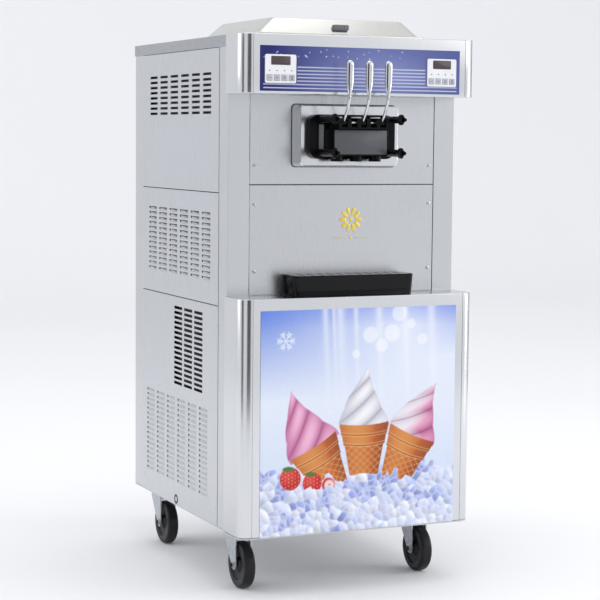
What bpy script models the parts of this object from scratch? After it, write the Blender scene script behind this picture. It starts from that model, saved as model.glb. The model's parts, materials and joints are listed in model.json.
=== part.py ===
"""Floor-standing soft serve machine: three draw levers, twin freezing cylinders and a body on casters.

Machine frame, in metres: X across (0 on the centre line), Y from the body's front face towards the
back, Z up from the floor. The empty "machine" moves that frame so that the object is centred in Y.
"""

import math

import bmesh
import bpy
from mathutils import Vector

# Overall sizes
CASING_WIDTH = 0.540
CASING_RADIUS = 0.026
BODY_INSET = 0.006
BODY_DEPTH = 0.5756
CASTER_HEIGHT = 0.1315
LOWER_CASING_HEIGHT = 0.496
SERVING_HEIGHT = 0.4161
HEADER_HEIGHT = 0.1208
HEADER_REACH = 0.083
LOWER_REACH = 0.0894

# Sheet metal and fits
SHEET = 0.0015
FRAME_SHEET = 0.002
PAN_SHEET = 0.003
GAP = 0.0003
SEAM = 0.0010
PANEL_RECESS = 0.0008

# How far a joined shape reaches into its base, and a cutter passes the face that it opens
FUSE_LAP = 0.001
CUT_PAST = 0.010
RUNNING = 0.0003

# Corner posts and rails
FRONT_POST_FACE = 0.048
FRONT_POST_SIDE = 0.0485
BACK_POST_FACE = 0.030
BACK_POST_SIDE = 0.054
POST_FLANGE = 0.014
RAIL_HEIGHT = 0.030
RAIL_LAP = 0.010
RAIL_SINK = 0.0005
BAND_HEIGHT = 0.0238
UPPER_PANEL_HEIGHT = 0.301
MIDDLE_PANEL_HEIGHT = 0.237
FRONT_SPLIT_HEIGHT = 0.230

# Vents in the side panels: (columns, rows, slot length, slot height, column pitch, row pitch)
UPPER_VENT = (6, 8, 0.047, 0.0055, 0.066, 0.0116)
LOWER_VENT = (3, 16, 0.050, 0.0065, 0.0615, 0.0112)
UPPER_VENT_MIDDLE = (0.2825, 0.0924)
LOWER_VENT_MIDDLE = (0.225, 0.1080)

# Dispensing head
HEAD_DROP = 0.0856
FACE_PLATE_WIDTH = 0.228
FACE_PLATE_BORDER = 0.034
FACE_PLATE_REACH = 0.028
FACE_PLATE_RADIUS = 0.008
FACE_PLATE_FLARE = (0.007, 0.002)
FACE_PLATE_WALL = 0.003
FACE_PLATE_EDGE = 0.0015
FACE_PLATE_SHIFT = 0.002
DOOR_WIDTH = 0.198
DOOR_BORDER = 0.023
DOOR_THICKNESS = 0.0135
DOOR_RADIUS = 0.020
BLOCK_WIDTH = 0.127
BLOCK_HEIGHT = 0.056
BLOCK_DROP = 0.011
BLOCK_REACH = 0.039
BLOCK_RADIUS = 0.004
BRACKET_WIDTH = 0.116
BRACKET_HEIGHT = 0.0215
BRACKET_REACH = 0.054
ARCH_WALL = 0.003
NOZZLE_RADIUS = 0.013
NOZZLE_LENGTH = 0.012
VALVE_PITCH = 0.044
VALVE_RADIUS = 0.0108
VALVE_SETBACK = 0.0155
STUD_SPAN = 0.152
STUD_TUCK = 0.001
STUD_SHIFT = 0.0015
STUD_RADIUS = 0.005
STUD_REACH = 0.070
WINDOW_OFFSET = 0.0705
WINDOW_WIDTH = 0.015
WINDOW_HEIGHT = 0.052
WINDOW_DEPTH = 0.009
WINDOW_RADIUS = 0.003

# Hand nuts
NUT_RADIUS = 0.0075
NUT_LENGTH = 0.0775
KNOB_RADIUS = 0.0092
KNOB_LOBE = 0.0018
KNOB_LENGTH = 0.013
KNOB_PROUD = 0.001
NUT_END_PLAY = 0.002

# Levers
LEVER_SLOT = 0.013
LEVER_SLOT_FLOOR = 0.003
LEVER_SIDE_PLAY = 0.0005
PIVOT_RADIUS = 0.0025
PIN_PROUD = 0.002
PIVOT_REACH = 0.045
PIVOT_RISE = 0.012
KNUCKLE_RADIUS = 0.0070
ARM_THICKNESS = 0.005
ARM_WIDTH = 0.006
TIP_PAST_VALVE = 0.001
TIP_RADIUS = 0.0034
ROD_RADIUS = 0.0029
GRIP_START = 0.056
GRIP_TOP = 0.127
GRIP_HALF_WIDTH = 0.0085
GRIP_HALF_DEPTH = 0.0050
ROD_LEAN = 0.031
PLUNGER_WINDOW_DOWN = 0.0140
PLUNGER_WINDOW_UP = 0.0050
PLUNGER_WINDOW_PLAY = 0.0009
PLUNGER_RECESS = 0.002
PLUNGER_PROUD = 0.003

# Header controls
OVERLAY_WIDTH = 0.458
OVERLAY_HEIGHT = 0.0915
OVERLAY_RISE = 0.0055
OVERLAY_SHEET = 0.0007
KEYPAD_WIDTH = 0.069
KEYPAD_HEIGHT = 0.0577
KEYPAD_SHEET = 0.0025
KEYPAD_RADIUS = 0.003
KEYPAD_OFFSET = 0.185
KEYPAD_RISE = 0.0215
KEY_WIDTH = 0.0122
KEY_HEIGHT = 0.0114
KEY_PITCH = 0.0163
KEY_RISE = 0.0107
KEY_PROUD = 0.0009
KEY_THICKNESS = 0.0022

# Drip tray
TRAY_WIDTH = 0.268
TRAY_REACH = 0.064
TRAY_HEIGHT = 0.0425
TRAY_TAPER = 0.003
TRAY_FLARE = 0.008
TRAY_WALL = 0.0025
TRAY_RADIUS = 0.012
TRAY_LEDGE = 0.003
GRILLE_SHEET = 0.0020
GRILLE_MARGIN = 0.008
GRILLE_SLOTS = 11
GRILLE_SLOT_WIDTH = 0.006

# Poster
POSTER_WIDTH = 0.452
POSTER_MARGIN = 0.0245
POSTER_SHEET = 0.0012

# Hopper and lid
HOPPER_WIDTH = 0.336
HOPPER_LENGTH = 0.270
HOPPER_DEPTH = 0.105
HOPPER_SETBACK = 0.048
HOPPER_RIM = 0.009
HOPPER_WALL = 0.0025
HOPPER_DIVIDER = 0.012
HOPPER_RADIUS = 0.020
FEED_RADIUS = 0.012
FEED_SETBACK = 0.035
LID_FLANGE_WIDTH = 0.392
LID_SETBACK = 0.022
LID_FLANGE = 0.0085
LID_BASE_INSET = 0.009
LID_SLOPE_SIDE = 0.034
LID_SLOPE_END = 0.0135
LID_RISE = 0.0325
LID_WALL = 0.0020
LID_FLANGE_RADIUS = 0.010
LID_BASE_RADIUS = 0.018
LID_TOP_RADIUS = 0.016
LID_GRIP_WIDTH = 0.037
LID_GRIP_HEIGHT = 0.012
LID_GRIP_REACH = 0.020
LID_GRIP_RISE = 0.006
LID_GRIP_RADIUS = 0.004

# Freezing cylinders and drive
CYLINDER_PITCH = 0.100
CYLINDER_NECK = 0.0355
CYLINDER_JACKET = 0.0485
CYLINDER_BORE = 0.032
DRIVE_ROOM = 0.2556
CYLINDER_WALL = 0.010
JACKET_SETBACK = 0.006
SHAFT_RADIUS = 0.008
BEATER_RADIUS = 0.030
BEATER_TURNS = 3
BEATER_END_PLAY = 0.006
BLADE_THICKNESS = 0.004
SHAFT_TAIL = 0.030
GEARBOX_GAP = 0.010
GEARBOX_LENGTH = 0.070
GEARBOX_HEIGHT = 0.110
MOTOR_RADIUS = 0.038
MOTOR_LENGTH = 0.080

# Cooling
COMPRESSOR_RADIUS = 0.075
COMPRESSOR_HEIGHT = 0.210
COMPRESSOR_SIDE = 0.135
COMPRESSOR_SETBACK = 0.190
PORT_RADIUS = 0.010
PORT_REACH = 0.020
CONDENSER_LENGTH = 0.300
CONDENSER_HEIGHT = 0.240
CONDENSER_THICKNESS = 0.052
CONDENSER_FINS = 14
CONDENSER_WEB = 0.010
CONDENSER_SIDE = 0.045
CONDENSER_SETBACK = 0.090
FAN_RADIUS = 0.105
FAN_BLADES = 5
FAN_GAP = 0.012
FAN_MOTOR_RADIUS = 0.022
FAN_MOTOR_LENGTH = 0.022
FAN_HUB_RADIUS = 0.020
FAN_HUB_LENGTH = 0.020

# Casters
WHEEL_RADIUS = 0.050
WHEEL_WIDTH = 0.027
WHEEL_SHOULDER = 0.006
WHEEL_DISH = 0.005
WHEEL_EDGE = 0.001
HUB_RADIUS = 0.014
DISH_START = 0.018
DISH_END = 0.033
WHEEL_INSET = 0.053
FRONT_SWIVEL = 0.067
BACK_SWIVEL = 0.0446
CASTER_TRAIL = 0.027
CASTER_PLATE = 0.084
CASTER_PLATE_RADIUS = 0.008
CROWN_RADIUS = 0.024
CROWN_HEIGHT = 0.016
FORK_SHEET = 0.003
AXLE_RADIUS = 0.006
AXLE_HEAD = 0.009
AXLE_PROUD = 0.004
LEG_MARGIN = 0.002
LEG_REACH = 0.010
WHEEL_SIDE_PLAY = 0.0025
WHEEL_TOP_PLAY = 0.004

# Cord inlet
GLAND_RADIUS = 0.011
GLAND_BORE = 0.006
GLAND_SETBACK = 0.297
GLAND_RISE = 0.0150
GLAND_LIP = 0.002
GLAND_HEAD = 0.0018
GLAND_TAIL = 0.006

# Levels and widths that follow from the sizes above
HALF_CASING = CASING_WIDTH / 2
HALF_BODY = HALF_CASING - BODY_INSET
BODY_BOTTOM = CASTER_HEIGHT
LEDGE = BODY_BOTTOM + LOWER_CASING_HEIGHT
HEADER_BOTTOM = LEDGE + SERVING_HEIGHT
BODY_TOP = HEADER_BOTTOM + HEADER_HEIGHT
PAN_TOP = BODY_BOTTOM + PAN_SHEET
BAND_BOTTOM = BODY_TOP - BAND_HEIGHT
HEAD_Z = HEADER_BOTTOM - HEAD_DROP
PANEL_SEAT = PANEL_RECESS + SHEET + GAP
UPPER_SPLIT = BAND_BOTTOM - UPPER_PANEL_HEIGHT
LOWER_SPLIT = UPPER_SPLIT - MIDDLE_PANEL_HEIGHT
FRONT_SPLIT = LEDGE + FRONT_SPLIT_HEIGHT
PANEL_FRONT = FRONT_POST_SIDE + SEAM
PANEL_BACK = BODY_DEPTH - BACK_POST_SIDE - SEAM
STUD_RISE = 2 * (CYLINDER_NECK - STUD_TUCK)
DOOR_HEIGHT = STUD_RISE + DOOR_BORDER
FACE_PLATE_HEIGHT = DOOR_HEIGHT + FACE_PLATE_BORDER
CYLINDER_LENGTH = BODY_DEPTH - DRIVE_ROOM
DOOR_FACE = -(FACE_PLATE_REACH + GAP + DOOR_THICKNESS)
BLOCK_TOP = HEAD_Z - BLOCK_DROP + BLOCK_HEIGHT / 2
BLOCK_BOTTOM = BLOCK_TOP - BLOCK_HEIGHT
BRACKET_TOP = BLOCK_TOP + BRACKET_HEIGHT
NOZZLE_BOTTOM = BLOCK_BOTTOM - NOZZLE_LENGTH
VALVE_Y = DOOR_FACE - VALVE_SETBACK
PIVOT = Vector((0, DOOR_FACE - PIVOT_REACH, BLOCK_TOP + PIVOT_RISE))
LEVER_ARM = PIVOT_REACH - VALVE_SETBACK + TIP_PAST_VALVE
HEADER_FACE = -HEADER_REACH
OVERLAY_FACE = HEADER_FACE - GAP - OVERLAY_SHEET
KEYPAD_FACE = OVERLAY_FACE - GAP - KEYPAD_SHEET
AXLE_Z = WHEEL_RADIUS
BACK_END = BODY_DEPTH + GAP + SHEET
SIDES = (("left", -1), ("right", 1))

FINISHES = {
    "steel": ((0.62, 0.63, 0.65, 1), 0.32, 1.0),
    "zinc": ((0.60, 0.63, 0.66, 1), 0.38, 1.0),
    "chrome": ((0.80, 0.81, 0.83, 1), 0.08, 1.0),
    "black": ((0.015, 0.015, 0.018, 1), 0.30, 0.0),
    "rubber": ((0.020, 0.020, 0.022, 1), 0.60, 0.0),
    "overlay": ((0.10, 0.14, 0.42, 1), 0.25, 0.0),
    "white": ((0.85, 0.86, 0.88, 1), 0.40, 0.0),
    "key": ((0.55, 0.57, 0.62, 1), 0.45, 0.0),
    "poster": ((0.62, 0.72, 0.92, 1), 0.30, 0.0),
    "plastic": ((0.82, 0.82, 0.80, 1), 0.50, 0.0),
    "iron": ((0.05, 0.05, 0.055, 1), 0.50, 0.0),
    "copper": ((0.55, 0.36, 0.26, 1), 0.45, 1.0),
    "lid": ((0.62, 0.62, 0.60, 1), 0.40, 1.0),
}


def material(finish):
    """The shared material of one finish, made the first time that it is asked for."""
    if finish in bpy.data.materials:
        return bpy.data.materials[finish]
    colour, roughness, metallic = FINISHES[finish]
    made = bpy.data.materials.new(finish)
    made.use_nodes = True
    shader = made.node_tree.nodes["Principled BSDF"]
    shader.inputs["Base Color"].default_value = colour
    shader.inputs["Roughness"].default_value = roughness
    shader.inputs["Metallic"].default_value = metallic
    made.diffuse_color = colour
    return made


def add_object(name, shape, parent):
    """Turns a bmesh into an object under its parent, smooth but for its hard edges."""
    bmesh.ops.recalc_face_normals(shape, faces=shape.faces)
    mesh = bpy.data.meshes.new(name)
    shape.to_mesh(mesh)
    shape.free()
    mesh.shade_smooth()
    mesh.set_sharp_from_angle(angle=math.radians(35))
    made = bpy.data.objects.new(name, mesh)
    bpy.context.scene.collection.objects.link(made)
    made.parent = parent
    return made


def piece(name, shape, finish, joint=(0, 0, 0)):
    """A sub-part drawn in the machine frame, with its origin moved onto its joint."""
    bmesh.ops.translate(shape, verts=shape.verts, vec=-Vector(joint))
    made = add_object(name, shape, bpy.data.objects["machine"])
    made.location = joint
    made.data.materials.append(material(finish))
    return made


def helper(target, shape, operation):
    """Joins a hidden shape, drawn in the machine frame, to a sub-part, or cuts it away."""
    bmesh.ops.translate(shape, verts=shape.verts, vec=-target.location)
    count = len(target.modifiers)
    tool = add_object(f"{target.name}_{operation.lower()}_{count}", shape, target)
    tool.hide_render = True
    tool.display_type = "WIRE"
    modifier = target.modifiers.new(f"{operation.lower()}_{count}", "BOOLEAN")
    modifier.operation = operation
    modifier.solver = "EXACT"
    modifier.object = tool


def cut(target, shape):
    """Cuts a shape away from a sub-part."""
    helper(target, shape, "DIFFERENCE")


def fuse(target, shape):
    """Joins a shape to a sub-part."""
    helper(target, shape, "UNION")


def placed(axis, across, up, along):
    """A point from its two coordinates in an outline's plane and its distance along the axis."""
    if axis == "X":
        return Vector((along, across, up))
    if axis == "Y":
        return Vector((across, along, up))
    return Vector((across, up, along))


def loft(loops):
    """A closed solid through loops of equally many points, with a flat cap on each end."""
    shape = bmesh.new()
    rings = [[shape.verts.new(point) for point in loop] for loop in loops]
    for low, high in zip(rings, rings[1:]):
        for i, corner in enumerate(low):
            j = (i + 1) % len(low)
            shape.faces.new((corner, low[j], high[j], high[i]))
    shape.faces.new(rings[0])
    shape.faces.new(rings[-1])
    return shape


def prism(outline, axis, start, end):
    """An outline in the plane across an axis, pushed along that axis."""
    return loft([[placed(axis, a, b, along) for a, b in outline] for along in (start, end)])


def box(low, high):
    """A box between two corners."""
    outline = ((low[0], low[1]), (high[0], low[1]), (high[0], high[1]), (low[0], high[1]))
    return prism(outline, "Z", low[2], high[2])


def gather(shapes):
    """Several shapes in one bmesh."""
    whole = bmesh.new()
    for shape in shapes:
        mesh = bpy.data.meshes.new("gathered")
        shape.to_mesh(mesh)
        shape.free()
        whole.from_mesh(mesh)
        bpy.data.meshes.remove(mesh)
    return whole


def arc(centre, radius, start, end, steps):
    """Points on an arc, with its angles in degrees."""
    angles = [math.radians(start + (end - start) * i / steps) for i in range(steps + 1)]
    return [(centre[0] + radius * math.cos(a), centre[1] + radius * math.sin(a)) for a in angles]


def circle(centre, radius, sides):
    """Points around a circle."""
    return arc(centre, radius, 0, 360 - 360 / sides, sides - 1)


def rounded(low, high, radius, steps=3):
    """A rectangle with round corners."""
    (x0, y0), (x1, y1) = low, high
    centres = (
        ((x1 - radius, y1 - radius), 0),
        ((x0 + radius, y1 - radius), 90),
        ((x0 + radius, y0 + radius), 180),
        ((x1 - radius, y0 + radius), 270),
    )
    return [p for centre, start in centres for p in arc(centre, radius, start, start + 90, steps)]


def turned(profile, axis, centre, sides):
    """A closed ring profile of (radius, distance along the axis), turned about the axis."""
    shape = bmesh.new()
    rings = []
    for i in range(sides):
        angle = math.tau * i / sides
        rings.append(
            [
                shape.verts.new(
                    Vector(centre) + placed(axis, r * math.cos(angle), r * math.sin(angle), along)
                )
                for r, along in profile
            ]
        )
    for i, near in enumerate(rings):
        far = rings[(i + 1) % sides]
        for j in range(len(profile)):
            k = (j + 1) % len(profile)
            shape.faces.new((near[j], near[k], far[k], far[j]))
    return shape


def disc(axis, centre, radius, start, end, sides=24):
    """A cylinder along an axis, from start to end as distances from its centre."""
    loops = []
    for along in (start, end):
        ring = circle((0, 0), radius, sides)
        loops.append([Vector(centre) + placed(axis, a, b, along) for a, b in ring])
    return loft(loops)


def front_shell(name, low_z, high_z, reach, finish):
    """A casing with round upright corners, closed on top and bottom and open at the back."""

    def outline(inset, back):
        side = HALF_CASING - inset
        face = inset - reach
        radius = CASING_RADIUS - inset
        left = arc((radius - side, face + radius), radius, 180, 270, 6)
        right = arc((side - radius, face + radius), radius, 270, 360, 6)
        return [(-side, back), *left, *right, (side, back)]

    shell = piece(name, prism(outline(0, -GAP), "Z", low_z, high_z), finish)
    cut(shell, prism(outline(SHEET, SHEET), "Z", low_z + SHEET, high_z - SHEET))
    return shell


def post_outline(face, side, sign_x, front):
    """An upright's section: two legs with a joggled flange behind each panel's edge."""
    sheet, seat = FRAME_SHEET, PANEL_SEAT
    corner = [
        (0, 0),
        (face, 0),
        (face, seat),
        (face + POST_FLANGE, seat),
        (face + POST_FLANGE, seat + sheet),
        (face - sheet, seat + sheet),
        (face - sheet, sheet),
        (sheet, sheet),
        (sheet, side - sheet),
        (seat + sheet, side - sheet),
        (seat + sheet, side + POST_FLANGE),
        (seat, side + POST_FLANGE),
        (seat, side),
        (0, side),
    ]
    return [(sign_x * (HALF_BODY - u), v if front else BODY_DEPTH - v) for u, v in corner]


def rails():
    """The rails between the posts, behind each seam between panels."""
    lap = RAIL_LAP
    outer = PANEL_SEAT + RAIL_SINK
    inner = outer + FRAME_SHEET + RAIL_SINK
    top = BAND_BOTTOM - RAIL_HEIGHT / 2
    start, end = FRONT_POST_SIDE + lap, BODY_DEPTH - BACK_POST_SIDE - lap
    shapes = []
    for level in (top, UPPER_SPLIT, LOWER_SPLIT):
        z0, z1 = level - RAIL_HEIGHT / 2, level + RAIL_HEIGHT / 2
        for _, sign in SIDES:
            x0, x1 = sorted((sign * (HALF_BODY - inner), sign * (HALF_BODY - outer)))
            shapes.append(box((x0, start, z0), (x1, end, z1)))
    half = HALF_BODY - FRONT_POST_FACE - lap
    for level in (HEADER_BOTTOM, FRONT_SPLIT, LEDGE):
        z0, z1 = level - RAIL_HEIGHT / 2, level + RAIL_HEIGHT / 2
        shapes.append(box((-half, outer, z0), (half, inner, z1)))
    half = HALF_BODY - BACK_POST_FACE - lap
    for level in (top, LEDGE):
        z0, z1 = level - RAIL_HEIGHT / 2, level + RAIL_HEIGHT / 2
        shapes.append(box((-half, BODY_DEPTH - inner, z0), (half, BODY_DEPTH - outer, z1)))
    return gather(shapes)


def build_chassis():
    """Four uprights and their rails, welded into one frame that stands on the pan."""
    bottom, top = PAN_TOP + GAP, BODY_TOP - SHEET - GAP
    posts = []
    for _, sign in SIDES:
        posts.append(prism(post_outline(FRONT_POST_FACE, FRONT_POST_SIDE, sign, True), "Z", bottom, top))
        posts.append(prism(post_outline(BACK_POST_FACE, BACK_POST_SIDE, sign, False), "Z", bottom, top))
    frame = piece("chassis_frame", gather(posts), "steel")
    fuse(frame, rails())


def caster_places():
    """Each caster's name and the middle of its swivel."""
    x = HALF_BODY - WHEEL_INSET
    for end, y in (("front", FRONT_SWIVEL), ("rear", BODY_DEPTH - BACK_SWIVEL)):
        for side, sign in SIDES:
            yield f"{end}_{side}", Vector((sign * x, y, 0))


def build_pan():
    """The floor of the machine with the four plates that the casters turn under."""
    side, face, radius = HALF_CASING, -LOWER_REACH, CASING_RADIUS
    left = arc((radius - side, face + radius), radius, 180, 270, 6)
    right = arc((side - radius, face + radius), radius, 270, 360, 6)
    outline = [
        (-HALF_BODY, BODY_DEPTH),
        (-HALF_BODY, -GAP),
        (-side, -GAP),
        *left,
        *right,
        (side, -GAP),
        (HALF_BODY, -GAP),
        (HALF_BODY, BODY_DEPTH),
    ]
    pan = piece("base_pan", prism(outline, "Z", BODY_BOTTOM, PAN_TOP), "steel")
    half = CASTER_PLATE / 2
    plates = []
    for _, place in caster_places():
        low, high = (place.x - half, place.y - half), (place.x + half, place.y + half)
        outline = rounded(low, high, CASTER_PLATE_RADIUS)
        plates.append(prism(outline, "Z", BODY_BOTTOM - PAN_SHEET, BODY_BOTTOM + FUSE_LAP))
    fuse(pan, gather(plates))


def slotted_sheet(side_x, thickness, low, high, vent, middle):
    """A sheet across X with a grid of slots, drawn as cells so that it needs no cutter."""
    columns, rows, length, height, pitch, rise = vent
    y_lines, z_lines = [low[0]], [low[1]]
    for i in range(columns):
        centre = middle[0] + (i - (columns - 1) / 2) * pitch
        y_lines += [centre - length / 2, centre + length / 2]
    for i in range(rows):
        centre = middle[1] + (i - (rows - 1) / 2) * rise
        z_lines += [centre - height / 2, centre + height / 2]
    y_lines.append(high[0])
    z_lines.append(high[1])
    shape = bmesh.new()
    grid = {}
    for i, y in enumerate(y_lines):
        for j, z in enumerate(z_lines):
            grid[i, j] = [shape.verts.new((x, y, z)) for x in (side_x, side_x + thickness)]
    solid = {
        (i, j)
        for i in range(len(y_lines) - 1)
        for j in range(len(z_lines) - 1)
        if not (i % 2 and j % 2)
    }
    for i, j in solid:
        corners = [(i, j), (i + 1, j), (i + 1, j + 1), (i, j + 1)]
        for layer in (0, 1):
            shape.faces.new([grid[corner][layer] for corner in corners])
        neighbours = ((i, j - 1), (i + 1, j), (i, j + 1), (i - 1, j))
        for k, neighbour in enumerate(neighbours):
            if neighbour not in solid:
                a, b = grid[corners[k]], grid[corners[(k + 1) % 4]]
                shape.faces.new((a[0], b[0], b[1], a[1]))
    return shape


def build_side_panels():
    """Three panels on each side; the upper and lower ones have open slots."""
    levels = (
        ("upper", UPPER_SPLIT + SEAM, BAND_BOTTOM - SEAM),
        ("middle", LOWER_SPLIT + SEAM, UPPER_SPLIT - SEAM),
        ("lower", PAN_TOP + GAP, LOWER_SPLIT - SEAM),
    )
    for side, sign in SIDES:
        outer = sign * (HALF_BODY - PANEL_RECESS)
        thickness = -sign * SHEET
        for level, z0, z1 in levels:
            low, high = (PANEL_FRONT, z0), (PANEL_BACK, z1)
            if level == "upper":
                middle = (UPPER_VENT_MIDDLE[0], z1 - UPPER_VENT_MIDDLE[1])
                shape = slotted_sheet(outer, thickness, low, high, UPPER_VENT, middle)
            elif level == "lower":
                middle = (LOWER_VENT_MIDDLE[0], z1 - LOWER_VENT_MIDDLE[1])
                shape = slotted_sheet(outer, thickness, low, high, LOWER_VENT, middle)
            else:
                x0, x1 = sorted((outer, outer + thickness))
                shape = box((x0, *low), (x1, *high))
            panel = piece(f"{side}_{level}_panel", shape, "steel")
            if (side, level) == ("left", "lower"):
                hole = GLAND_RADIUS - GLAND_LIP + RUNNING
                centre = (outer, GLAND_SETBACK, BODY_BOTTOM + GLAND_RISE)
                cut(panel, disc("X", centre, hole, -CUT_PAST, CUT_PAST, 20))


def build_gland():
    """The rubber cord inlet in the lower left panel."""
    x = PANEL_RECESS - HALF_BODY
    inner = GLAND_RADIUS - GLAND_LIP
    profile = [
        (GLAND_BORE, -GLAND_HEAD),
        (GLAND_RADIUS, -GLAND_HEAD),
        (GLAND_RADIUS, -GAP),
        (inner, -GAP),
        (inner, SHEET + GLAND_TAIL),
        (GLAND_BORE, SHEET + GLAND_TAIL),
    ]
    centre = (x, GLAND_SETBACK, BODY_BOTTOM + GLAND_RISE)
    piece("cable_gland", turned(profile, "X", centre, 20), "rubber")


def build_back_panel():
    """The sheet that closes the back between the rear uprights."""
    half = HALF_BODY - BACK_POST_FACE - SEAM
    y = BODY_DEPTH - PANEL_RECESS
    piece("back_panel", box((-half, y - SHEET, PAN_TOP + GAP), (half, y, BAND_BOTTOM - SEAM)), "steel")


def build_top_cover():
    """The top sheet with its skirts and the hole that the hopper hangs in."""
    side = HALF_BODY + GAP + SHEET
    cover = piece("top_cover", box((-side, GAP, BAND_BOTTOM), (side, BACK_END, BODY_TOP)), "steel")
    inside = box(
        (SHEET - side, -GAP, BAND_BOTTOM - SHEET),
        (side - SHEET, BACK_END - SHEET, BODY_TOP - SHEET),
    )
    cut(cover, inside)
    half = HOPPER_WIDTH / 2 + GAP
    low = (-half, HOPPER_SETBACK - GAP)
    high = (half, HOPPER_SETBACK + HOPPER_LENGTH + GAP)
    cut(cover, prism(rounded(low, high, HOPPER_RADIUS), "Z", BODY_TOP - CUT_PAST, BODY_TOP + CUT_PAST))


def build_hopper():
    """Twin mix tubs in one pressing, hung by their rim, each with a feed tube to a cylinder."""
    half = HOPPER_WIDTH / 2
    y0, y1 = HOPPER_SETBACK, HOPPER_SETBACK + HOPPER_LENGTH
    rim_low, rim_high = BODY_TOP + GAP, BODY_TOP + GAP + SHEET
    floor = BODY_TOP - HOPPER_DEPTH
    tub = rounded((-half, y0), (half, y1), HOPPER_RADIUS)
    rim = rounded(
        (-half - HOPPER_RIM, y0 - HOPPER_RIM),
        (half + HOPPER_RIM, y1 + HOPPER_RIM),
        HOPPER_RADIUS + HOPPER_RIM,
    )
    levels = ((tub, floor), (tub, rim_low), (rim, rim_low), (rim, rim_high))
    shape = loft([[Vector((x, y, z)) for x, y in loop] for loop, z in levels])
    hopper = piece("hopper", shape, "steel")
    feed_bottom = HEAD_Z + CYLINDER_JACKET + GAP
    feeds = [(sign * CYLINDER_PITCH / 2, y0 + FEED_SETBACK) for _, sign in SIDES]
    tubes = [disc("Z", (x, y, 0), FEED_RADIUS, feed_bottom, floor + FUSE_LAP, 16) for x, y in feeds]
    fuse(hopper, gather(tubes))
    wall = HOPPER_WALL
    pockets = []
    for _, sign in SIDES:
        x0, x1 = sorted((sign * HOPPER_DIVIDER / 2, sign * (half - wall)))
        outline = rounded((x0, y0 + wall), (x1, y1 - wall), HOPPER_RADIUS - wall)
        pockets.append(prism(outline, "Z", floor + wall, rim_high + CUT_PAST))
    cut(hopper, gather(pockets))
    drains = [
        disc("Z", (x, y, 0), FEED_RADIUS - wall, feed_bottom - CUT_PAST, floor + 2 * wall, 16)
        for x, y in feeds
    ]
    cut(hopper, gather(drains))


def build_lid():
    """The lift-off hopper cover: a flange, sloping sides and a finger grip at the front."""
    half = LID_FLANGE_WIDTH / 2
    y0 = LID_SETBACK
    y1 = HOPPER_SETBACK + HOPPER_LENGTH + (HOPPER_SETBACK - LID_SETBACK)
    bottom = BODY_TOP + GAP
    shoulder, top = bottom + LID_FLANGE, bottom + LID_FLANGE + LID_RISE

    def ring(side, end, radius, z):
        outline = rounded((side - half, y0 + end), (half - side, y1 - end), radius)
        return [Vector((x, y, z)) for x, y in outline]

    base, wall = LID_BASE_INSET, LID_WALL
    inner = LID_BASE_RADIUS - wall
    loops = [
        ring(LID_SLOPE_SIDE + wall, LID_SLOPE_END + wall, LID_TOP_RADIUS - wall, top - wall),
        ring(base + wall, base + wall, inner, shoulder - wall),
        ring(base + wall, base + wall, inner, bottom),
        ring(0, 0, LID_FLANGE_RADIUS, bottom),
        ring(0, 0, LID_FLANGE_RADIUS, shoulder),
        ring(base, base, LID_BASE_RADIUS, shoulder),
        ring(LID_SLOPE_SIDE, LID_SLOPE_END, LID_TOP_RADIUS, top),
    ]
    lid = piece("hopper_lid", loft(loops), "lid")
    low = (-LID_GRIP_WIDTH / 2, shoulder + LID_GRIP_RISE)
    high = (LID_GRIP_WIDTH / 2, low[1] + LID_GRIP_HEIGHT)
    grip = rounded(low, high, LID_GRIP_RADIUS)
    fuse(lid, prism(grip, "Y", y0 + base - LID_GRIP_REACH, y0 + LID_SLOPE_END + FUSE_LAP))


def build_front_panels():
    """The two flat sheets between the front uprights; the cylinders come through the upper one."""
    half = HALF_BODY - FRONT_POST_FACE - SEAM
    y0, y1 = PANEL_RECESS, PANEL_RECESS + SHEET
    spans = (("upper", FRONT_SPLIT + SEAM, HEADER_BOTTOM - GAP), ("lower", LEDGE + SEAM, FRONT_SPLIT - SEAM))
    for level, z0, z1 in spans:
        panel = piece(f"front_{level}_panel", box((-half, y0, z0), (half, y1, z1)), "steel")
        if level == "upper":
            holes = [
                disc("Y", (sign * CYLINDER_PITCH / 2, 0, HEAD_Z), CYLINDER_NECK + RUNNING, -CUT_PAST, CUT_PAST, 24)
                for _, sign in SIDES
            ]
            cut(panel, gather(holes))


def stud_places():
    """The four studs that hold the door."""
    for level, up in (("upper", 0.5), ("lower", -0.5)):
        for side, sign in SIDES:
            yield f"{level}_{side}", (sign * STUD_SPAN / 2, HEAD_Z + up * STUD_RISE + STUD_SHIFT)


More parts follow.
